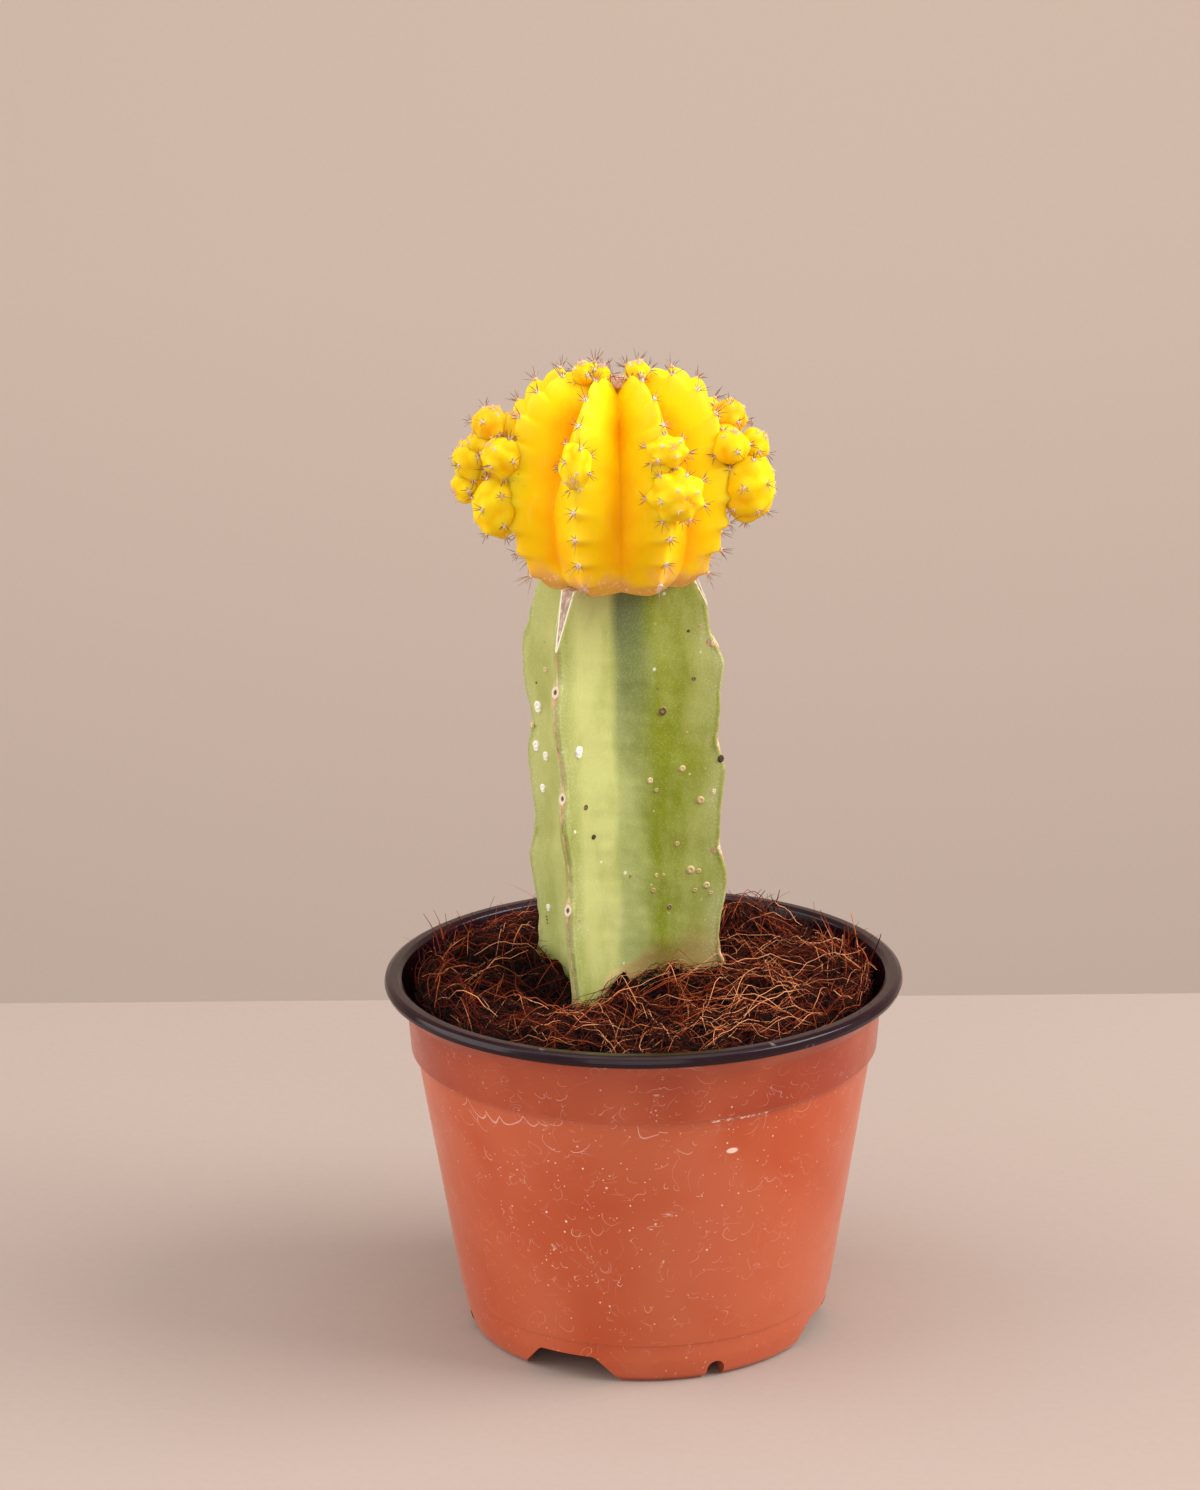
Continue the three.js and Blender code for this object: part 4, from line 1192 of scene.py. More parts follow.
    def build(self) -> None:
        """Turns the pot, cuts its foot and hangs it on the frame."""
        profile, first = self.profile()
        rows = profile[1:-1]
        rings = np.zeros((len(rows), self.sides, 3))
        rings[..., :2] = rows[:, None, :1] * circle_of(self.sides)
        rings[..., 2] = rows[:, 1:]
        shells = Shells()
        shells.loft(rings, (0, 0, self.panel[0]), (0, 0, self.panel[1]))
        walls = (len(rows) - 1) * self.sides
        slots = np.full(len(shells.faces), Layer.OUTER.value)
        slots[:walls][np.arange(walls) // self.sides + 2 >= first] = Layer.INNER.value
        slots[walls + self.sides:] = Layer.INNER.value
        layers = [TerracottaSheet().make(), BlackSheet().make()]
        pot = shells.build("pot_sheet", layers, slots=slots.tolist())
        tool = self.cutters().build("foot_cutters")
        cut = pot.modifiers.new("foot", "BOOLEAN")
        cut.object = tool
        cut.solver = "EXACT"
        settle(pot)
        bpy.data.objects.remove(tool)
        pot.data.set_sharp_from_angle(angle=math.radians(self.sharp))
        tie(pot, "pot")


@dataclass(frozen=True)
class Wing:
    """One wing of the rootstock: its frame sizes, areole heights and how pale its two flanks are."""

    azimuth: float
    turn: float
    foot: float
    head: float
    shoulder: float
    wave: float
    areole: float
    cut: float
    cut_from: float
    cut_turn: float
    line: float
    nodes: tuple[float, ...]
    tones: Pair


@dataclass(frozen=True)
class Scar:
    """A corky scar on the rootstock, by its place seen from the front."""

    x: float
    z: float
    radius: float
    tone: float


WINGS = (
    Wing(-26.6, -6.6, 22.9, 25.1, 0.8, 0.7, 155.0, 5.6, 165.5, 0.0, 0.27, (156.5, 131.7, 105.4, 81.4),
         (0.85, 1.0)),
    Wing(90.0, 0.0, 24.2, 23.6, 3.6, 0.8, 160.5, 3.4, 169.5, -12.0, 0.6, (162.7, 138.7, 113.5, 88.0),
         (0.0, 0.35)),
    Wing(-123.0, 0.0, 22.6, 24.9, 1.8, 0.8, 161.0, 4.6, 166.0, 0.0, 0.5, (163.0, 140.0, 115.0, 90.0),
         (0.35, 0.85)),
)


@dataclass
class WingedStem:
    """The three-winged rootstock: a loft with corky margins and shaved shoulders."""

    centre: Pair = (-5.4, 3.0)
    bottom: float = 48.0
    buried: Triple = (60.0, 70.0, 76.0)
    straight_to: float = 80.0
    shoulder_z: float = 157.0
    graft: float = 178.6
    pitch: float = 25.2
    valley_radius: float = 8.6
    half_width: float = 1.1
    round: float = 0.7
    belly: Pair = (9.0, 2.4)
    valley_ease: float = 4.5
    flank_steps: int = 19
    fall: tuple[tuple[float, ...], ...] = (
        (0.0, 0.15, 0.28, 0.36, 0.6, 0.7, 0.78, 1.0, 1.15, 1.3),
        (0.3, 0.58, 0.9, 1.0, 0.97, 0.87, 0.52, 0.34, 0.22, 0.06))
    band: tuple[tuple[float, ...], ...] = ((0.68, 0.8, 1.05, 1.3), (0.0, 1.0, 0.8, 0.0))
    nose_steps: int = 13
    step: float = 0.42
    scars: tuple[Scar, ...] = tuple(Scar(*row) for row in (
        (-13.9, 142, 1.15, 1.3), (-7.5, 168, 0.24, 0.1), (-8.6, 164.5, 0.19, 0.1),
        (-14.2, 165.5, 0.24, 0.8), (-10.9, 151.5, 0.19, 0.95), (-12.6, 128.5, 0.7, 0.35),
        (-10.9, 121, 0.65, 0.1), (-15.2, 123.5, 0.45, 1.2), (-12.6, 99.5, 0.29, 0.95),
        (-9.3, 101, 0.19, 0.9), (-14.4, 102.5, 0.4, 0.6), (-13.1, 95, 0.19, 0.05),
        (-12.2, 93.5, 0.19, 0.05), (-13.4, 93, 0.19, 0.05), (1.9, 131.5, 0.77, 0.8), (3.4, 129, 0.58, 0.6),
        (2.9, 124, 0.29, 0.85), (-2.8, 109.5, 0.46, 0.45), (3.3, 108.5, 0.58, 0.65),
        (4.9, 108.5, 0.4, 0.65), (2.1, 106.5, 0.29, 0.95), (2.5, 105, 0.65, 0.55), (-1, 94, 0.24, 0.05),
        (-6.3, 105, 0.19, 0.5), (4.8, 147.5, 1.1, 0.35), (3.6, 153, 0.35, 0.4), (12.4, 154.5, 0.58, 0.4),
        (10.9, 150.5, 0.19, 0.8), (9.1, 145.5, 0.24, 0.8), (10.4, 142, 0.29, 0.9), (3.7, 168, 0.29, 0.95),
        (3.8, 166, 0.24, 0.9), (11.2, 165.5, 0.4, 0.2), (13.7, 166.5, 0.46, 0.6), (8.9, 133.5, 0.77, 0.75),
        (10.8, 132, 0.35, 0.8), (14.8, 133, 0.29, 0.8), (13.6, 125.5, 0.97, 0.7),
        (16.7, 127.5, 0.58, 0.98), (13.4, 120, 0.24, 0.1), (7.8, 115.5, 0.65, 0.6), (11.1, 109, 1, 0.7),
        (13, 108.5, 0.65, 0.65), (14.7, 105, 0.83, 0.75), (15.6, 103, 0.58, 0.65), (12, 104, 0.58, 0.6),
        (13.6, 101.5, 0.29, 0.9), (6.3, 100.5, 0.65, 0.4), (14.6, 96.5, 0.29, 0.9), (16.9, 97, 0.29, 0.9),
        (17.1, 103.5, 0.19, 0.8), (18.5, 135, 0.9, 0.05), (8.4, 120.5, 0.19, 0.8), (14.9, 119, 0.19, 0.7),
        (-23.6, 145, 1.15, 1.3), (-24.5, 135.5, 1.05, 1.45), (-22.1, 133.5, 0.9, 1.2),
        (-23.1, 125.5, 0.85, 1.45), (-21.6, 154, 0.71, 0.8), (-23.4, 150.5, 0.35, 0.1),
        (-21.9, 160.5, 0.29, 0.5), (-25.6, 140, 0.71, 0.8), (-21.6, 113, 0.29, 0.9),
        (-21.9, 96.5, 0.75, 1.2), (16.4, 162.6, 0.5, 0.9), (18.2, 138.2, 0.55, 0.85),
        (18.8, 113.6, 0.6, 0.95), (-10.3, 82.4, 0.34, 0.0), (-9.9, 81.6, 0.4, 0.0),
        (-9.6, 80.8, 0.32, 0.0), (-6.4, 82.2, 0.3, 0.0), (-5.8, 81.9, 0.36, 0.0), (-22.4, 94.0, 0.3, 0.0),
        (-22.3, 93.2, 0.32, 0.0), (-22.2, 92.4, 0.3, 0.0),
    ))
    hidden_scars: int = 60
    hidden_levels: Pair = (92.0, 172.0)
    facing_share: float = 0.35

    def rise(self, z: float) -> float:
        """How far up the stem a height lies: 0 in the coir, 1 at the shoulder."""
        return float(np.clip((z - self.straight_to) / (self.shoulder_z - self.straight_to), 0, 1))

    def azimuth(self, wing: Wing, z: float) -> float:
        """Azimuth of a wing at a height."""
        return wing.azimuth + wing.turn * self.rise(z)

    def reach(self, wing: Wing, z: float) -> float:
        """How far a wing's wavy edge stands from the stem's centre.

        Args:
            wing: The wing.
            z: Height of the section.

        Returns:
            The distance.
        """
        shoulder = wing.shoulder * max(0.0, (z - self.shoulder_z) / (self.graft - self.shoulder_z))
        even = wing.foot + (wing.head - wing.foot) * self.rise(z) - shoulder
        below = ((wing.areole - max(z, self.straight_to - 4)) / self.pitch - 0.1) % 1
        turn = below / 0.72 / 2 if below < 0.72 else 0.5 + (below - 0.72) / 0.28 / 2
        return even + wing.wave * math.cos(2 * math.pi * turn)

    def swelling(self, wing: Wing, z: float) -> float:
        """How much of an areole knot shows at a height: 1 at an areole, with a tail below it."""
        return max(math.exp(-((z - n) / (1.5 if z > n else 2.3)) ** 2) for n in wing.nodes)

    def blade(self, wing: Wing, z: float, side: int, valley_way: np.ndarray) -> np.ndarray:
        """One flank of a wing, from the edge of its margin into the valley.

        Args:
            wing: The wing.
            z: Height of the section.
            side: 1 for the flank towards greater azimuths, -1 for the other.
            valley_way: Direction of the valley beside it.

        Returns:
            Points along the flank.
        """
        out = heading(self.azimuth(wing, z))
        across = np.array((-out[1], out[0])) * side
        reach = self.reach(wing, z)
        along = np.array((-valley_way[1], valley_way[0]))
        valley = valley_way * self.valley_radius
        knots = (
            out * (reach - self.round) + across * self.half_width,
            out * (reach - self.belly[0]) + across * self.belly[1],
            valley - along * side * self.valley_ease,
            valley,
        )
        t = np.linspace(0, 1, self.flank_steps)[:, None] ** 1.25
        return ((1 - t) ** 3 * knots[0] + 3 * t * (1 - t) ** 2 * knots[1]
                + 3 * t * t * (1 - t) * knots[2] + t**3 * knots[3])

    def section(self, z: float) -> dict[str, np.ndarray]:
        """One cross-section of the stem with the values that its skin is painted by.

        Args:
            z: Height of the section.

        Returns:
            Points round the section, and tone, valley, edge, side, seam, room, knot and cut at each.
        """
        wings = sorted(WINGS, key=lambda wing: wing.azimuth)
        rows: dict[str, list[np.ndarray]] = {}
        for k, wing in enumerate(wings):
            after = wings[(k + 1) % len(wings)]
            span = (self.azimuth(after, z) - self.azimuth(wing, z) + 360) % 360
            valley_way = heading(self.azimuth(wing, z) + span / 2)
            nose, knot = self.nose(wing, z)
            left = self.blade(wing, z, 1, valley_way)[1:]
            right = self.blade(after, z, -1, valley_way)[::-1][1:-1]
            first, second = len(nose), len(nose) + len(left)
            spots = np.vstack((nose, left, right))
            place = np.concatenate((
                np.zeros(first), np.linspace(0, 1, len(left) + 1)[1:],
                np.linspace(1, 0, len(right) + 2)[1:-1]))
            across_face = np.concatenate((place[:second], 2 - place[second:]))
            across_face = across_face + 0.015 * math.sin(z * 0.23)
            share = np.interp(across_face, *self.fall)
            # Painted shade: near the valley each face turns less pale towards the graft, in the scion's
            # shadow.
            share = share - 0.28 * float(ease(z, 138, 172)) * np.exp(-(((across_face - 0.95) / 0.4) ** 2))
            tone = after.tones[0] + (wing.tones[1] - after.tones[0]) * share
            tone = tone + 0.5 * ease(across_face, 1.22, 2.05)
            tone[:first] = 0.28 * sum(wing.tones)
            band = np.interp(across_face, *self.band)
            depth, side, seam, room = (np.zeros(len(spots)) for _ in range(4))
            for part, blade in ((slice(0, second), wing), (slice(second, len(spots)), after)):
                bound = self.limit(blade, z)
                if bound is not None:
                    way = heading(self.azimuth(blade, z) + blade.cut_turn)
                    depth[part] = np.maximum(spots[part] @ way - bound, 0)
                    spots[part] -= depth[part][:, None] * way
                out = heading(self.azimuth(blade, z))
                side[part] = np.abs(spots[part] @ np.array((-out[1], out[0])))
                seam[part] = self.seam(blade, z)
                risen = (z - blade.cut_from) / (self.graft - blade.cut_from)
                room[part] = 0.3 + 1.5 * np.clip(risen, 0, 1)
            values = {
                "spot": spots,
                "tone": tone,
                "valley": band,
                "edge": 1 - ease(place, 0.0, 0.3),
                "side": side,
                "seam": seam,
                "room": room,
                "knot": np.concatenate((knot, np.zeros(len(spots) - first))),
                "cut": ease(depth, 0.02, 0.1),
            }
            for key, value in values.items():
                rows.setdefault(key, []).append(value)
        return {key: np.concatenate(value) for key, value in rows.items()}

    def seam(self, wing: Wing, z: float) -> float:
        """Half the width of the margin's cork line at a height, none in the coir."""
        wavy = wing.line + 0.05 * math.sin(z * 0.9) + 0.04 * math.sin(z * 2.3)
        return (wavy + 0.75 * self.swelling(wing, z)) * float(z > self.straight_to - 10)

    def nose(self, wing: Wing, z: float) -> tuple[np.ndarray, np.ndarray]:
        """The rounded margin of a wing at a height, swollen and pitted at an areole.

        Args:
            wing: The wing.
            z: Height of the section.

        Returns:
            Points from one side of the margin to the other, and how deep in a knot's eye each is.
        """
        out = heading(self.azimuth(wing, z))
        across = np.array((-out[1], out[0]))
        swell = self.swelling(wing, z)
        turn = np.radians(np.linspace(-90, 90, self.nose_steps))
        bow, lean = np.cos(turn), np.sin(turn)
        width = self.half_width * (1 + 0.3 * swell)
        arc = np.abs(lean) * width
        near = min(abs(z - node) for node in wing.nodes)
        pit = math.exp(-((near / 0.6) ** 2)) * np.exp(-((arc / 0.4) ** 2))
        far = self.reach(wing, z) - self.round + (self.round + 0.4 * swell) * bow - 0.5 * pit
        eye = math.exp(-((near / 1.15) ** 2)) * np.exp(-((arc / 0.75) ** 2))
        return far[:, None] * out + (width * lean)[:, None] * across, eye

    def limit(self, wing: Wing, z: float) -> float | None:
        """Distance to which the slanted cut leaves a wing.

        Args:
            wing: The wing.
            z: Height of the section.

        Returns:
            The distance along the cut's direction, or None below the cut.
        """
        if z <= wing.cut_from:
            return None
        high = self.reach(wing, self.graft) - wing.cut
        low = self.reach(wing, wing.cut_from)
        return low + (high - low) * (z - wing.cut_from) / (self.graft - wing.cut_from)

    def polar(self, z: float) -> tuple[np.ndarray, np.ndarray]:
        """One section as polar coordinates, for testing what is inside it.

        Args:
            z: Height of the section.

        Returns:
            Azimuths in degrees, in rising order, and the distance at each.
        """
        spots = self.section(z)["spot"]
        azimuths = np.degrees(np.arctan2(spots[:, 0], -spots[:, 1]))
        order = np.argsort(azimuths)
        return azimuths[order], np.linalg.norm(spots, axis=1)[order]

    def front(self, x: float, z: float) -> tuple[np.ndarray, np.ndarray]:
        """The point of the stem's front that is seen at a place.

        Args:
            x: Place across.
            z: Height.

        Returns:
            The point and its outward direction.
        """
        spots = self.section(z)["spot"] + np.array(self.centre)
        x = float(np.clip(x, spots[:, 0].min() + 0.2, spots[:, 0].max() - 0.2))
        after = np.roll(spots, -1, axis=0)
        crossing = (spots[:, 0] - x) * (after[:, 0] - x) <= 0
        share = (x - spots[:, 0]) / np.where(after[:, 0] == spots[:, 0], 1e-9, after[:, 0] - spots[:, 0])
        depth = spots[:, 1] + share * (after[:, 1] - spots[:, 1])
        pick = int(np.argmin(np.where(crossing, depth, 1e9)))
        run = unit(after[pick] - spots[pick])
        return np.array((x, depth[pick], z)), np.array((run[1], -run[0], 0.0))

    def lift(self, spots: np.ndarray, cut: np.ndarray | float) -> np.ndarray:
        """How far the skin's slow waves stand out of the sections, none where it is cut flat."""
        calm = ease(spots[..., 2], 80, 90) * (1 - ease(spots[..., 2], 172, 178))
        return (0.3 * ripple(spots, 15, 3) + 0.07 * ripple(spots, 3.2, 4)) * calm * (1 - cut)

    def lifted(self, at: np.ndarray) -> np.ndarray:
        """A point of a section, moved to the waved skin."""
        out = unit(at[:2] - np.array(self.centre))
        return at + np.append(out * float(self.lift(at, 0.0)), 0.0)

    def build(self, garden: Garden) -> None:
        """Lofts the stem, sets its scars and hangs both on the frame.

        Args:
            garden: The shared Geometry Nodes trees.
        """
        heights = [self.bottom, *self.buried, *np.arange(self.straight_to - 2, self.graft, self.step),
                   self.graft]
        sections = [self.section(z) for z in heights]
        flat = np.array([s["spot"] for s in sections]) + np.array(self.centre)
        level = np.broadcast_to(np.array(heights)[:, None, None], (*flat.shape[:2], 1))
        rings = np.concatenate((flat, level), axis=2)
        out = unit(flat - np.array(self.centre))
        cut = np.array([s["cut"] for s in sections])
        rings[..., :2] += out * self.lift(rings, cut)[..., None]
        values = {key: np.array([s[key] for s in sections]) for key in sections[0] if key != "spot"}
        # Damp soil has stained the foot, up to a level that rises towards +X.
        across = rings[..., 0]
        edge = 86.5 + 4.5 * ease(across, -9.5, 2) + 2.5 * ease(across, 3, 14) + 0.6 * np.sin(across * 0.7)
        soft = 0.6 + 4.5 * ease(across, -4, 8)
        inner = ease(across, -10.5, -8)
        values["foot"] = (1 - ease(rings[..., 2], edge - soft, edge + soft)) * inner * 0.8
        shells = Shells()
        x, y = self.centre
        shells.loft(rings, (x, y, self.bottom), (x, y, self.graft), **values)
        stem = shells.build("rootstock_stem", [WaxyRind().make()], sharp=50)
        tie(stem, "rootstock")
        self.build_scars(garden)

    def build_scars(self, garden: Garden) -> None:
        """Sets the corky scars: those that the front shows and others like them behind.

        Args:
            garden: The shared Geometry Nodes trees.
        """
        random = np.random.default_rng(12)
        points = Points()
        for scar in self.scars:
            at, way = self.front(scar.x, scar.z)
            at = self.lifted(at)
            points.put(at - 0.12 * way, way, scar.radius, 0.7 * scar.radius, scar.tone)
            if scar.tone > 0.88 and scar.radius > 0.45:
                below = at - 0.16 * way - 0.75 * scar.radius * UP
                points.put(below, way, 0.85 * scar.radius, 0.6 * scar.radius, scar.tone)
        hidden = self.hidden_scars
        while hidden:
            z = random.uniform(*self.hidden_levels)
            section = self.section(z)
            k = int(random.integers(len(section["spot"])))
            if section["side"][k] < section["seam"][k] + 0.4 or section["cut"][k] > 0:
                continue
            spots = section["spot"] + np.array(self.centre)
            run = unit(spots[(k + 1) % len(spots)] - spots[k - 1])
            way = np.array((run[1], -run[0], 0.0))
            radius = random.uniform(0.2, 0.7) ** 1.3
            if way[1] < 0.2:
                radius *= self.facing_share
            at = self.lifted(np.array((*spots[k], z)))
            points.put(at - 0.12 * way, way, radius, 0.7 * radius, random.uniform(0.3, 1.0))
            hidden -= 1
        rings = [(1.0, -0.3), (1.0, 0.2), (0.86, 0.55), (0.6, 0.72), (0.34, 0.6), (0.16, 0.42)]
        wart = template("wart", rings, 10, rough=0.08, seed=3)
        scars = garden.plant("rootstock_scars", points, wart, CorkScar().make(), 5)
        bpy.data.objects.remove(wart)
        tie(scars, "rootstock")


@dataclass(frozen=True)
class Rib:
    """One rib of the scion."""

    azimuth: float
    reach: float


@dataclass(frozen=True)
class Head:
    """An offset: a small ribbed head on the scion."""

    at: Triple
    semi: Triple
    axis: Triple
    ribs: int
    rows: int
    point: float
    warmth: float


@dataclass
class Areole:
    """A place that spines and wool grow from."""

    at: np.ndarray
    out: np.ndarray
    count: int
    length: float
    size: float
    old: float
    droop: float = 0.0


RIBS = tuple(Rib(*row) for row in (
    (-157, 1.0), (-112, 1.05), (-66, 1.02), (-21.5, 0.98), (26, 1.0), (70, 1.01), (113, 1.04), (158, 1.0),
))
CREST = ((1.2, 222.6), (5.5, 224.0), (11.0, 224.2), (16.8, 222.0), (21.8, 216.4), (24.3, 208.4),
         (25.2, 199.0), (24.1, 190.5), (21.3, 183.6), (18.7, 179.6), (15.6, 177.2))
GROOVES = ((0.0, 1.8), (0.15, 6.0), (0.3, 9.0), (0.47, 8.2), (0.62, 5.4), (0.76, 4.0), (0.88, 2.4),
           (1.0, 1.4))
HEADS = tuple(Head(*row) for row in (
    ((-32.8, -6.0, 214.9), (3.9, 3.6, 4.0), (0.2, -0.3, 0.9), 6, 6, 0.12, 0.5),
    ((-28.3, -5.0, 212.9), (3.2, 3.2, 4.7), (0.2, -0.4, 0.9), 5, 5, 0.05, 0.25),
    ((-30.2, -9.0, 208.2), (4.4, 4.0, 4.5), (-0.65, -0.45, 0.65), 6, 6, 0.12, 0.0),
    ((-34.6, -5.6, 210.6), (3.4, 3.2, 3.6), (-0.5, -0.4, 0.7), 5, 5, 0.12, 0.3),
    ((-37.2, -5.0, 206.6), (3.9, 3.6, 4.8), (-0.7, -0.1, 0.6), 6, 6, 0.12, 0.15),
    ((-37.9, -3.5, 200.8), (3.6, 3.6, 4.0), (-0.9, -0.3, -0.3), 5, 5, 0.12, 0.1),
    ((-31.4, -7.0, 196.8), (5.5, 5.0, 7.3), (-0.8, 0.3, -0.5), 7, 7, 0.06, 0.0),
    ((-28.5, -6.0, 203.5), (5.0, 4.0, 6.0), (-1, 0, 0), 4, 5, 0, 0.3),
    ((-34.3, -4.2, 204.6), (4.4, 3.6, 7.0), (-1, 0, 0), 5, 5, 0, 0.3),
    ((20.2, 1.5, 214.4), (3.8, 4.0, 3.9), (0.6, 0.3, 0.7), 6, 6, 0.14, 0.55),
    ((20.4, -7.5, 209.6), (4.2, 3.8, 4.0), (0.15, -0.35, 0.95), 5, 5, 0.05, 0.0),
    ((25.6, -3.5, 209.2), (3.3, 3.3, 3.7), (0.7, -0.2, 0.6), 5, 5, 0.12, 0.15),
    ((24.2, -5.0, 200.3), (6.0, 5.4, 7.9), (0.95, 0.1, 0.1), 8, 7, 0.06, 0.0),
    ((18.8, -1.5, 207.0), (5.6, 6.0, 7.5), (1, 0, 0), 5, 6, 0, 0.3),
    ((-13.8, -21.4, 208.6), (3.5, 3.4, 5.2), (-0.1, -0.8, -0.6), 6, 6, 0.1, 0.0),
    ((6.3, -20.6, 211.6), (4.3, 3.6, 3.3), (0.3, -0.9, 0.4), 6, 6, 0.2, 0.0),
    ((8.2, -21.6, 201.9), (5.8, 4.6, 5.6), (0.4, -1, 0), 7, 7, 0.18, 0.0),
    ((-11.8, -2.4, 225.4), (2.8, 2.8, 2.6), (-0.3, -0.3, 1), 5, 5, 0.12, 0.2),
    ((-8.2, -3.0, 225.3), (2.1, 2.2, 2.2), (0.1, -0.3, 1), 5, 4, 0.12, 0.2),
    ((-0.2, -2.0, 225.5), (2.9, 2.8, 2.7), (0.1, -0.3, 1), 5, 5, 0.12, 0.1),
))


def on_ball(polar: float, turn: float) -> np.ndarray:
    """Unit direction at an angle from +Z and a turn about it, in radians."""
    return np.array((math.sin(polar) * math.cos(turn), math.sin(polar) * math.sin(turn), math.cos(polar)))


@dataclass
class MoonCactus:
    """The scion: a ribbed globe with offsets, areole wool and spines."""

    centre: Pair = (-4.7, 1.0)
    foot: float = 177.2
    rib_steps: int = 30
    rows: int = 180
    tubercle: float = 1.6
    slant: float = 2.4
    fades: Pair = (0.17, 0.11)
    areole_first: float = 5.5
    areole_step: float = 6.1
    spine_length: float = 3.1
    crown: int = 7
    core: Pair = (19.0, 221.0)
    cover: float = 1.03
    head_mesh: tuple[int, int] = (36, 48)
    crown_level: float = 0.72
    crown_size: float = 0.3
    head_size: float = 0.42
    rib_size: float = 0.62
    apex_level: float = 222.4
    apex_spines: int = 34
    apex_felt: int = 40
    apex_reach: Pair = (5.2, 4.6)
    areoles: list[Areole] = field(default_factory=list)

    def __post_init__(self) -> None:
        """Lays out the crest line, its outward directions and the depth of the grooves."""
        self.crest = smooth_curve(np.array(CREST), 1201)
        self.grooves = smooth_curve(np.array(GROOVES), 240)
        self.crest_length = float(np.linalg.norm(np.diff(self.crest, axis=0), axis=1).sum())
        run = unit(np.gradient(self.crest, axis=0))
        self.crest_out = np.stack((-run[:, 1], run[:, 0]), axis=1)

    def peak(self, distance: np.ndarray) -> np.ndarray:
        """How far a tubercle stands out, 1 at an areole.

        Round the shoulder each is a lobe that bulges below its areole. Further down each is a tooth
        that is undercut right below its areole.

        Args:
            distance: Place along the crest.

        Returns:
            The share at each place.
        """
        turn = (distance - self.areole_first) / self.areole_step
        part = turn - np.floor(turn)
        lobe = np.clip(1 - (part / 0.84) ** 2.4, 0, 1) + ease(part, 0.78, 1.0)
        tooth = 1 - ease(part, 0, 0.34) + np.clip((part - 0.3) / 0.7, 0, 1) ** 1.6
        low = ease(distance / self.crest_length, 0.45, 0.75)
        return np.clip(lobe, 0, 1) * (1 - low) + np.clip(tooth, 0, 1) * low

    def surface(self, fraction: np.ndarray, across: np.ndarray, azimuth: np.ndarray, reach: np.ndarray,
                ) -> tuple[np.ndarray, np.ndarray]:
        """Points of the body's skin.

        Args:
            fraction: Place along the crest, 0 at the apex and 1 at the graft.
            across: Place across the rib, 0 on the crest and 1 in the groove.
            azimuth: Azimuth in degrees.
            reach: Share by which the rib stands further out.

        Returns:
            The points, and how far each stands on a tubercle.
        """
        slot = np.clip(fraction, 0, 1) * (len(self.crest) - 1)
        low = np.minimum(slot.astype(int), len(self.crest) - 2)
        part = (slot - low)[..., None]
        spot = self.crest[low] * (1 - part) + self.crest[low + 1] * part
        out = unit(self.crest_out[low] * (1 - part) + self.crest_out[low + 1] * part)
        distance = fraction * self.crest_length
        fade = np.clip(np.minimum(fraction / self.fades[0], (1 - fraction) / self.fades[1]), 0, 1)
        depth = np.interp(fraction, self.grooves[:, 0], self.grooves[:, 1])
        groove = -depth * across**1.2
        slant = distance - self.slant * across
        spread = 0.78 * np.exp(-((across / 0.2) ** 2)) + 0.22 * (1 - across) ** 2.5
        stand = self.peak(slant) * spread * fade
        crease = 0.05 * np.cos(2 * np.pi * (slant - self.areole_first) / self.areole_step)
        crease = crease * across * (1 - across) * 3.2 * fade
        lift = groove + self.tubercle * stand + crease
        spot = spot + out * lift[..., None]
        way = heading(azimuth)
        flat = np.array(self.centre) + way * (spot[..., :1] * reach[..., None])
        height = np.maximum(spot[..., 1], self.foot)
        return np.concatenate((flat, height[..., None]), axis=-1), stand

    def add_body(self, shells: Shells) -> None:
        """Adds the ribbed globe and lists its areoles.

        Args:
            shells: Mesh in the making.
        """
        azimuths, across, reach = [], [], []
        for k, rib in enumerate(RIBS):
            after = RIBS[(k + 1) % len(RIBS)]
            place = np.arange(self.rib_steps) / self.rib_steps
            azimuths.append(rib.azimuth + place * ((after.azimuth - rib.azimuth + 360) % 360))
            across.append(1 - np.abs(1 - 2 * place))
            reach.append(rib.reach + place * (after.reach - rib.reach))
        azimuth, over, far = (np.concatenate(v)[None, :] for v in (azimuths, across, reach))
        fraction = np.linspace(1, 0.012, self.rows)[:, None]
        shape = np.broadcast_shapes(fraction.shape, azimuth.shape)
        whole = [np.broadcast_to(v, shape) for v in (fraction, over, azimuth, far)]
        rings, stand = self.surface(*whole)
        calm = ease(1 - whole[0], 0.02, 0.12)
        out = unit(rings - np.array((*self.centre, 200)))
        rings = rings + out * (0.22 * ripple(rings, 9, 21) * calm)[..., None]
        rings[..., 2] = np.maximum(rings[..., 2], self.foot)
        fade = np.clip(np.minimum(whole[0] / 0.2, (1 - whole[0]) / 0.15), 0, 1)
        cork = ease(whole[0] + 0.04 * ripple(rings, 5, 22) - 0.03 * whole[1], 0.83, 0.97)
        warmth = np.clip(0.06 * ripple(rings, 20, 23) + 0.32 * ease(whole[0], 0.45, 0.95), 0, 1)
        # height holds a painted highlight on the tubercles; valley also drives the painted shade in the
        # grooves.
        shells.loft(rings, (*self.centre, self.foot + 1.2), (*self.centre, 222.2), valley=whole[1] * fade,
                    height=np.clip(stand, 0, 1) * 0.6, cork=cork, warmth=warmth)
        for rib in RIBS:
            distance = self.areole_first
            while distance < self.crest_length - 1:
                self.add_crest_areole(rib, distance)
                distance += self.areole_step

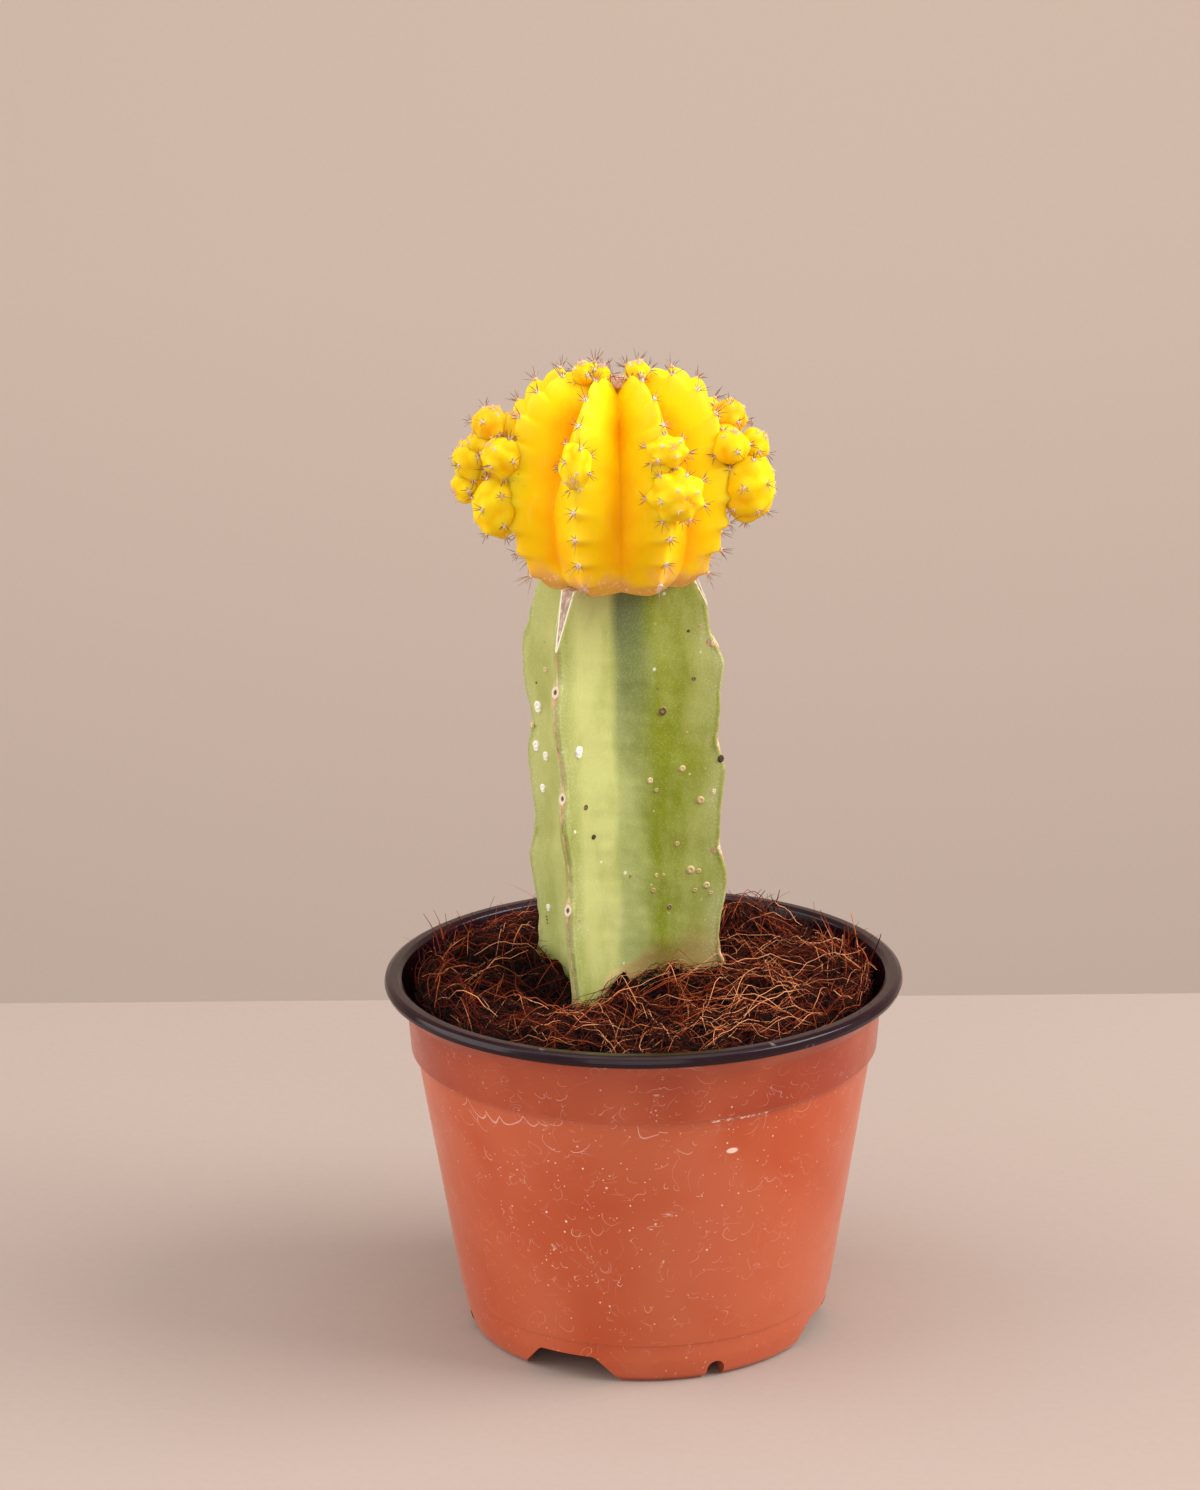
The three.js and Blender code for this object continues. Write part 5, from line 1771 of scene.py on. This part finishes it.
    def add_crest_areole(self, rib: Rib, distance: float) -> None:
        """Lists one areole of a rib.

        Args:
            rib: The rib.
            distance: Its place along the crest.
        """
        fraction = distance / self.crest_length
        spot, _ = self.surface(*(np.array([v]) for v in (fraction, 0.0, rib.azimuth, rib.reach)))
        k = int(fraction * (len(self.crest) - 1))
        way = heading(rib.azimuth)
        out = np.array((*(way * self.crest_out[k, 0]), self.crest_out[k, 1]))
        if self.covered(spot[0], None):
            return
        old = float(ease(fraction, 0.86, 0.97))
        length = self.spine_length * (1 + 0.7 * old)
        self.areoles.append(Areole(spot[0], out, 6 + int(3 * old), length, self.rib_size, old, 0.7 * old))

    def covered(self, spot: np.ndarray, own: Head | None) -> bool:
        """Whether a spot lies inside the body or inside a head other than its own.

        Args:
            spot: The spot.
            own: The head that it is on, or None on the body.

        Returns:
            True if it does.
        """
        away = math.hypot(spot[0] - self.centre[0], spot[1] - self.centre[1])
        if own is not None and away < self.core[0] and spot[2] < self.core[1]:
            return True
        return any(head is not own and np.linalg.norm((spot - head.at) / np.array(head.semi)) < self.cover
                   for head in HEADS)

    def add_head(self, shells: Shells, head: Head, seed: int) -> None:
        """Adds one offset and lists its areoles.

        Args:
            shells: Mesh in the making.
            head: The offset.
            seed: Seed of its unevenness.
        """
        turn = UP_VECTOR.rotation_difference(Vector(head.axis).normalized()).to_matrix()
        spin = np.array(turn)
        rows, sides = self.head_mesh
        polar = np.linspace(np.pi, 0, rows)[1:-1, None]
        around = (2 * np.pi * np.arange(sides) / sides)[None, :]
        local = np.stack(np.broadcast_arrays(
            np.sin(polar) * np.cos(around), np.sin(polar) * np.sin(around), np.cos(polar)), axis=-1)
        ridge = np.abs(np.sin(head.ribs * around / 2))
        lift = 1 - 0.075 * ridge**0.9 * np.sin(polar)
        lift = lift + 0.018 * ripple(local * 10, 6, seed)
        stand = np.zeros(lift.shape)
        width = 0.82 * min(math.pi / head.rows * 1.9, 2 * math.pi / head.ribs)
        tips = []
        for row in range(1, head.rows - 1):
            for k in range(head.ribs):
                if (row + k) % 2 == 0:
                    tips.append(on_ball(math.pi * row / head.rows, 2 * math.pi * k / head.ribs))
        for tip in tips:
            apart = np.arccos(np.clip(local @ tip, -1, 1))
            bump = np.clip(1 - apart / width, 0, 1) ** 1.45
            stand = np.maximum(stand, bump)
        lift = lift + (head.point + 0.02) * stand
        semi, at = np.array(head.semi), np.array(head.at)
        rings = (local @ spin.T) * lift[..., None] * semi + at
        poles = [(np.array((0, 0, s)) @ spin.T) * semi * 0.97 + at for s in (-1, 1)]
        valley = np.clip(ridge * np.sin(polar) * 0.9 - stand, 0, 1) + np.zeros(lift.shape)
        blush = 0.4 * np.exp(-((polar / 0.4) ** 2)) * float(head.point > 0)
        # Painted shade: the underside of each offset is warmed towards orange.
        under = 0.2 * ease(at[2] - rings[..., 2], 0, semi[2])
        # height holds a painted highlight on the tubercles' tips.
        shells.loft(rings, *poles, valley=valley, height=stand**2 * 0.8, cork=0.0,
                    warmth=np.clip(head.warmth + 0.1 * ripple(rings, 4, seed + 50) + blush + under, 0, 1))
        random = np.random.default_rng(seed)
        spots = [(tip, self.crown_size if tip[2] > self.crown_level else self.head_size,
                  1 + head.point + 0.02) for tip in tips]
        for k in range(self.crown if head.point else 0):
            tip = on_ball(0.11 * math.sqrt(k + 0.5), 2.4 * k + random.uniform(-0.3, 0.3))
            spots.append((tip, self.crown_size, 1.01))
        for tip, size, far in spots:
            way = tip @ spin.T
            spot = way * semi * far + at
            if not self.covered(spot, head):
                crown = size == self.crown_size
                length = self.spine_length * (0.3 if crown else 0.75)
                old = 0.95 if crown else 0.0
                self.areoles.append(Areole(spot, unit(way / semi), 2 if crown else 5, length, size, old))

    def fans(self, areole: Areole) -> tuple[np.ndarray, np.ndarray]:
        """Two directions at right angles to an areole's own.

        Args:
            areole: The areole.

        Returns:
            One that lies level and the one across it.
        """
        side = np.cross(areole.out, UP)
        if side @ side < 0.01:
            side = np.array((1.0, 0.0, 0.0))
        side = unit(side)
        return side, unit(np.cross(side, areole.out))

    def on_apex(self, away: float, turn: float) -> np.ndarray:
        """A place in the sunken apex, by its distance from the axis and its turn."""
        x, y = self.centre
        return np.array((x + away * math.cos(turn), y + away * math.sin(turn), self.apex_level))

    def spines(self) -> Points:
        """Sets a fan of spines at each areole and a tuft in the sunken apex.

        Returns:
            The places of them all.
        """
        random = np.random.default_rng(41)
        points = Points()
        for areole in self.areoles:
            side, over = self.fans(areole)
            for i in range(areole.count + int(random.integers(0, 3))):
                turn = 2 * np.pi * ((i + random.uniform(-0.3, 0.3)) / areole.count)
                lean = random.uniform(0.35, 1.25)
                spread = math.cos(turn) * side + math.sin(turn) * over
                way = areole.out + lean * spread - areole.droop * UP
                root = areole.at - 0.15 * areole.out + 0.3 * spread
                length = areole.length * random.uniform(0.5, 1.15)
                tone = float(np.clip(areole.old + random.uniform(-0.1, 0.25), 0, 1))
                points.put(root, way, random.uniform(0.085, 0.12), length, tone)
        for _ in range(self.apex_spines):
            turn = random.uniform(0, 2 * np.pi)
            root = self.on_apex(self.apex_reach[0] * math.sqrt(random.uniform(0.05, 1)), turn)
            way = np.array((0.35 * math.cos(turn), 0.35 * math.sin(turn), 1.0)) + random.normal(0, 0.22, 3)
            girth, length = random.uniform(0.08, 0.12), random.uniform(2.6, 5.2)
            points.put(root, way, girth, length, random.uniform(0, 0.35))
        return points

    def build(self, garden: Garden) -> None:
        """Builds the flesh, the wool and the spines and hangs them on the frame.

        Args:
            garden: The shared Geometry Nodes trees.
        """
        shells = Shells()
        self.add_body(shells)
        for number, head in enumerate(HEADS):
            self.add_head(shells, head, 100 + number)
        flesh = shells.build("scion_flesh", [YellowFlesh().make()])
        tie(flesh, "scion")

        random = np.random.default_rng(43)
        felt, hair = Points(), Points()
        for areole in self.areoles:
            felt.put(areole.at - 0.1 * areole.out, areole.out, areole.size * random.uniform(0.8, 1.1),
                     areole.size * 0.55, random.uniform(0.0, 0.5))
            side, over = self.fans(areole)
            for _ in range(11 if areole.size > 0.35 else 5):
                turn, far = random.uniform(0, 2 * np.pi), random.uniform(0.2, 0.9) * areole.size
                spread = math.cos(turn) * side + math.sin(turn) * over
                hair.put(areole.at + far * spread * 0.7, areole.out + 1.3 * spread, 0.055,
                         random.uniform(0.9, 2.1) * areole.size, random.uniform(0, 0.45))
        for _ in range(self.apex_felt):
            turn = random.uniform(0, 2 * np.pi)
            root = self.on_apex(self.apex_reach[1] * math.sqrt(random.uniform(0, 1)), turn)
            girth, length = random.uniform(0.6, 1.0), random.uniform(0.7, 1.3)
            felt.put(root + 0.2 * UP, UP, girth, length, random.uniform(0.3, 1))
        wool = AreoleWool().make()
        pad = template("felt_pad", [(0.9, -0.4), (1.0, 0.0), (0.86, 0.45), (0.5, 0.8), (0.2, 0.95)], 8,
                       rough=0.16, seed=5)
        rings = [(1.0, -0.12), (0.95, 0.1), (0.75, 0.45), (0.45, 0.78), (0.1, 0.98)]
        needle = template("needle", rings, 5, bend=1.4)
        wisp = template("wisp", [(1.0, 0.0), (0.7, 0.5), (0.2, 1.0)], 3, bend=3.0)
        pieces = (
            garden.plant("scion_felt", felt, pad, wool, 7),
            garden.plant("scion_wool", hair, wisp, wool, 8),
            garden.plant("scion_spines", self.spines(), needle, HornSpine().make(), 9),
        )
        for piece in pieces:
            tie(piece, "scion")
        for shape in (pad, needle, wisp):
            bpy.data.objects.remove(shape)


@dataclass(frozen=True)
class Heap:
    """A soft heap or hollow of the coir."""

    x: float
    y: float
    r: float
    h: float


HEAPS = tuple(Heap(*row) for row in (
    (3, -10, 11, 5.2), (23, -9, 12, 4.4), (24, 30, 9, 8.0), (38, 8, 11, 3.0), (-31, 16, 15, 5.0),
    (-38, -14, 12, 2.2), (-14, -38, 14, 1.6), (18, -40, 13, 1.8), (-24, -12, 7, -5.0), (-5, 26, 16, 2.6),
    (-26, 38, 11, 2.4), (12, 46, 10, -2.0), (42, -22, 9, 1.6),
))


@dataclass(frozen=True)
class Fibres:
    """One kind of fibre: how many, how long and how it lies."""

    name: str
    count: int
    steps: int
    sides: int
    length: Pair
    radius: Pair
    lift: Pair
    arch: Pair
    curl: float
    tone: Pair
    seed: int


@dataclass
class CoirFill:
    """The pot's fill: packed crumb under a mat of husk fibres."""

    stem: WingedStem
    level: float = 80.2
    edge: float = 53.2
    lip: float = 1.2
    lip_level: float = 82.0
    side: tuple[Pair, ...] = ((41.2, 7.7), (42.0, 10.2), (51.2, 66.8), (52.6, 68.4))
    rings: int = 120
    spokes: int = 200
    kinds: tuple[Fibres, ...] = (
        Fibres("coir_mat_a", 5400, 6, 3, (4, 13), (0.07, 0.16), (-0.9, 0.5), (0.1, 1.4), 0.05,
               (0.0, 0.42), 71),
        Fibres("coir_mat_b", 5400, 6, 3, (5, 16), (0.05, 0.1), (-0.5, 1.3), (0.3, 2.4), 0.05,
               (0.1, 0.72), 72),
        Fibres("coir_loose", 700, 10, 3, (9, 30), (0.06, 0.12), (0.2, 2.4), (0.7, 5.5), 0.024,
               (0.55, 1.1), 73),
    )
    spread: float = 54.5
    # Centre and spread, across and in depth, of the painted shade in the hollow left of the stem.
    hollow: tuple[Pair, Pair] = ((-23.0, 9.0), (-7.0, 10.0))
    clear_at: float = 86.0
    stem_gap: float = 0.25
    rim_level: float = 85.9
    rooms: Pair = (58.5, 53.6)
    tuft_count: int = 420
    tuft_steps: int = 10
    near_rim: Pair = (46.0, 52.6)
    inland: Pair = (16.0, 48.0)
    blades: int = 54
    blade_feet: Pair = (46.5, 52.2)
    blade_turns: tuple[float, ...] = (155.0, 178.0, 10.0, 62.0)

    def height(self, x: np.ndarray, y: np.ndarray) -> np.ndarray:
        """Height of the coir's surface without its lumps.

        Args:
            x: Places across.
            y: Places in depth.

        Returns:
            The height at each place.
        """
        z = np.full(np.shape(x), self.level)
        for heap in HEAPS:
            z = z + heap.h * np.exp(-((x - heap.x) ** 2 + (y - heap.y) ** 2) / heap.r**2)
        z = z + 0.7 * np.sin(x * 0.55 + 1.3) * np.cos(y * 0.47 - 0.4)
        z = z + 1.5 * ease(np.abs(x), 36, 50)
        return z + 0.5 * np.sin(x * 0.93 - y * 0.71)

    def clods(self, x: np.ndarray, y: np.ndarray) -> np.ndarray:
        """Relief of the coir's lumps and hollows, about -2 to 2."""
        flat = np.stack((x, y), axis=-1)
        return 1.9 * ripple(flat, 8.5, 31) + 0.8 * ripple(flat, 3.6, 32)

    def build_crumb(self) -> None:
        """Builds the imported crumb, closed down to the pot's floor."""
        circle = circle_of(self.spokes)
        rings = [np.column_stack((r * circle, np.full(self.spokes, z))) for r, z in self.side]
        rim = self.edge * circle
        lowered = np.minimum(self.height(rim[:, 0], rim[:, 1]) - self.lip, self.lip_level)
        rings.append(np.column_stack((rim, lowered)))
        for ring in range(self.rings, 0, -1):
            flat = (self.edge - self.lip) * ring / self.rings * circle
            z = self.height(flat[:, 0], flat[:, 1]) + self.clods(flat[:, 0], flat[:, 1]) - 0.9
            rings.append(np.column_stack((flat, z + 0.3 * ripple(flat, 1.4, 33))))
        shells = Shells()
        top = float(self.height(np.array(0.0), np.array(0.0)))
        shells.loft(np.array(rings), (0, 0, self.side[0][1]), (0, 0, top))
        crumb = shells.build("coir_crumb", [CoirCrumb().make()])
        tie(crumb, "coir_substrate")

    def lines(self, kind: Fibres) -> tuple[np.ndarray, np.ndarray, np.ndarray]:
        """Lays one kind of fibre on the surface, clear of the stem and inside the pot.

        Args:
            kind: The kind of fibre.

        Returns:
            Points along each fibre, the radius at each point and each fibre's tone, which holds painted
            light and shade.
        """
        random = np.random.default_rng(kind.seed)
        count = kind.count * 3
        away = self.spread * np.sqrt(random.uniform(0, 1, count))
        turn = random.uniform(0, 2 * np.pi, count)
        x, y = away * np.cos(turn), away * np.sin(turn)
        way = 5 * ripple(np.stack((x, y), axis=1), 15, 36) + random.normal(0, 0.75, count)
        length = random.uniform(*kind.length, count)
        bend = random.normal(0, kind.curl, count)
        pace = length / (kind.steps - 1)
        lift = random.uniform(*kind.lift, count)
        arch = random.uniform(*kind.arch, count) * random.uniform(0, 1, count)
        tilt = random.normal(0, 1.7, count)
        spots = []
        relief = self.clods(x, y)
        for k in range(kind.steps):
            t = k / (kind.steps - 1)
            lumps = 0.55 * relief + 0.25 * self.clods(x, y)
            z = self.height(x, y) + lumps + lift + arch * math.sin(math.pi * t) + tilt * (t - 0.5)
            spots.append(np.stack((x, y, z), axis=1))
            way = way + bend * pace + random.normal(0, kind.curl * 0.8, count)
            x, y = x + pace * np.cos(way), y + pace * np.sin(way)
        lines = np.stack(spots, axis=1)
        crowned = self.clods(lines[:, 0, 0], lines[:, 0, 1]) > random.normal(-0.2, 0.8, count)
        lines = lines[self.clear(lines) & crowned][:kind.count]
        thick = random.uniform(*kind.radius, len(lines))
        taper = 0.45 + 0.55 * np.sin(np.pi * np.linspace(0.06, 0.94, kind.steps))
        shade = random.uniform(*kind.tone, len(lines))
        x, y = lines[:, kind.steps // 2, :2].T
        # Painted light and shade in the tone: fibres are paler on lumps and towards +X, where the light
        # comes from, and darker in dips and in the hollow left of the stem.
        sunlit = 0.08 * np.clip(x / 40, -1, 1)
        (low_x, wide_x), (low_y, wide_y) = self.hollow
        hollow = np.exp(-(((x - low_x) / wide_x) ** 2) - ((y - low_y) / wide_y) ** 2)
        shade = np.clip(shade + 0.15 * self.clods(x, y) + sunlit - 0.1 - 0.4 * hollow, 0, 1)
        return lines, thick[:, None] * taper, shade

    def clear(self, lines: np.ndarray) -> np.ndarray:
        """Finds the fibres that stay out of the stem and inside the pot.

        Args:
            lines: Points along each fibre.

        Returns:
            True for each fibre that does.
        """
        azimuths, reaches = self.stem.polar(self.clear_at)
        off = lines[..., :2] - np.array(self.stem.centre)
        bearing = np.degrees(np.arctan2(off[..., 0], -off[..., 1]))
        bound = np.interp(bearing, azimuths, reaches, period=360) + self.stem_gap
        inside = np.linalg.norm(off, axis=-1) < bound
        far = np.linalg.norm(lines[..., :2], axis=-1)
        room = np.where(lines[..., 2] > self.rim_level, *self.rooms)
        return ~(inside.any(axis=1) | (far > room).any(axis=1))

    def tufts(self) -> tuple[np.ndarray, np.ndarray, np.ndarray]:
        """Lays fibres that stand up out of the mat, most of them near the rim.

        Returns:
            Points along each fibre, the radius at each point and each fibre's tone.
        """
        random = np.random.default_rng(77)
        steps, count, blades = self.tuft_steps, self.tuft_count, self.blades
        away = np.where(random.uniform(0, 1, count) < 0.6, random.uniform(*self.near_rim, count),
                        random.uniform(*self.inland, count))
        turn = random.uniform(0, 2 * np.pi, count)
        foot = np.stack((away * np.cos(turn), away * np.sin(turn)), axis=1)
        lean = random.normal(0, 0.45, (count, 2))
        tall = random.uniform(3.0, 11.0, count) * np.where(away > 45, 1.15, 0.85)
        thick = random.uniform(0.08, 0.17, count)
        place = np.radians(random.choice(self.blade_turns, blades) + random.normal(0, 7, blades))
        out = np.column_stack((np.cos(place), np.sin(place)))
        foot[:blades] = random.uniform(*self.blade_feet, blades)[:, None] * out
        lean[:blades] *= 0.6
        tall[:blades] = random.uniform(7.0, 13.0, blades)
        thick[:blades] = random.uniform(0.18, 0.36, blades)
        sway = random.normal(0, 0.35, (count, 2))
        base = self.height(foot[:, 0], foot[:, 1])
        spots = []
        for k in range(steps):
            t = k / (steps - 1)
            flat = foot + tall[:, None] * (lean * t + sway * t * t)
            spots.append(np.column_stack((flat, base - 1.0 + (tall + 1.0) * (t - 0.22 * t * t))))
        lines = np.stack(spots, axis=1)
        kept = self.clear(lines)
        lines, thick = lines[kept], thick[kept]
        taper = np.linspace(1, 0.25, steps)
        return lines, thick[:, None] * taper, random.uniform(0.3, 0.95, len(lines))

    def build(self, garden: Garden) -> None:
        """Builds the crumb and the fibres and hangs them on the frame.

        Args:
            garden: The shared Geometry Nodes trees.
        """
        self.build_crumb()
        husk = HuskFibre().make()
        for kind in self.kinds:
            lines, girth, tone = self.lines(kind)
            tie(garden.sweep(kind.name, lines, girth, tone, kind.sides, husk), "coir_substrate")
        tie(garden.sweep("coir_tufts", *self.tufts(), 4, husk), "coir_substrate")


@dataclass(frozen=True)
class SoftBox:
    """An area light that points at the plant."""

    name: str
    at: Triple
    size: float
    power: float
    colour: str


@dataclass
class Studio:
    """Floor, backdrop, soft lights and the camera at the photograph's angle."""

    table_end: float = 219.0
    wall_y: float = 1500.0
    wall_foot: float = -900.0
    wall_top: float = 3000.0
    reach: float = 4000.0
    floor_colour: str = "#AF9E93"
    wall_colour: str = "#D0BAA9"
    aim_level: float = 110.0
    sky_colour: str = "#FAF8FC"
    sky_strength: float = 0.55
    camera_at: Triple = (0.0, -877.1, 390.2)
    focus: float = 4000.0
    photo_height: float = 1490.0
    sensor: float = 36.0
    clip: Pair = (0.01, 50.0)
    pitch_deg: float = 15.971
    yaw_deg: float = -0.614
    roll_deg: float = -0.689
    lights: tuple[SoftBox, ...] = (
        SoftBox("key_right", (1050, -150, 900), 0.9, 19.5, "#FFFDFB"),
        SoftBox("fill_left", (-1050, -100, 600), 1.2, 10.0, "#FFFDFB"),
        SoftBox("top", (0, -200, 1300), 1.2, 5.8, "#FFFDFB"),
        SoftBox("front", (-100, -1600, 300), 1.2, 5.5, "#FFFDFB"),
    )

    def board(self, name: str, corners: list[Triple], colour: str) -> None:
        """Adds one flat sheet of the stage.

        Args:
            name: Name of the object.
            corners: Its corners, anticlockwise seen from its face.
            colour: Its colour.
        """
        piece = new_piece(name, corners, [], [[0, 1, 2, 3]])
        piece.data.materials.append(PaleBoard(name=name + "_paint", colour=colour).make())

    def build(self) -> None:
        """Sets the stage, the lights and the camera."""
        wide, high, end, y, low = self.reach, self.wall_top, self.table_end, self.wall_y, self.wall_foot
        floor = [(-wide, -wide, 0), (wide, -wide, 0), (wide, end, 0), (-wide, end, 0)]
        wall = [(-wide, y, low), (wide, y, low), (wide, y, high), (-wide, y, high)]
        self.board("floor", floor, self.floor_colour)
        self.board("backdrop", wall, self.wall_colour)
        for box in self.lights:
            lamp = bpy.data.lights.new(box.name, "AREA")
            lamp.size = box.size
            lamp.energy = box.power
            lamp.color = linear(box.colour)[:3]
            holder = bpy.data.objects.new(box.name, lamp)
            holder.location = Vector(box.at) * MM
            aim = Vector((0, 0, self.aim_level * MM)) - holder.location
            holder.rotation_mode = "QUATERNION"
            holder.rotation_quaternion = aim.to_track_quat("-Z", "Y")
            bpy.context.scene.collection.objects.link(holder)
        world = bpy.data.worlds.new("studio")
        world.use_nodes = True
        tree = world.node_tree
        tree.nodes.clear()
        sky = add_node(tree, "Background", {"Color": self.sky_colour, "Strength": self.sky_strength})
        add_node(tree, "OutputWorld", {"Surface": sky})
        bpy.context.scene.world = world
        bpy.context.scene.view_settings.view_transform = "Standard"
        self.set_camera()

    def set_camera(self) -> None:
        """Puts the camera where the photograph was taken from."""
        theta, psi, rho = (math.radians(v) for v in (self.pitch_deg, self.yaw_deg, self.roll_deg))
        level = math.cos(theta)
        ahead = Vector((math.sin(psi) * level, math.cos(psi) * level, -math.sin(theta)))
        right = ahead.cross(UP_VECTOR).normalized()
        above = right.cross(ahead)
        across = math.cos(rho) * right + math.sin(rho) * above
        upward = -math.sin(rho) * right + math.cos(rho) * above
        lens = bpy.data.cameras.new("camera")
        lens.sensor_width = self.sensor
        lens.lens = self.focus / self.photo_height * self.sensor
        lens.clip_start, lens.clip_end = self.clip
        camera = bpy.data.objects.new("camera", lens)
        turn = Matrix((across, upward, -ahead)).transposed()
        camera.matrix_world = Matrix.Translation(Vector(self.camera_at) * MM) @ turn.to_4x4()
        bpy.context.scene.collection.objects.link(camera)
        bpy.context.scene.camera = camera


def main() -> None:
    """Builds the plant, its pot and the studio."""
    logging.basicConfig(level=logging.INFO, format="%(name)s %(message)s")
    Studio().build()
    garden = Garden()
    NurseryPot().build()
    stem = WingedStem()
    stem.build(garden)
    MoonCactus().build(garden)
    CoirFill(stem).build(garden)


if __name__ == "__main__":
    main()
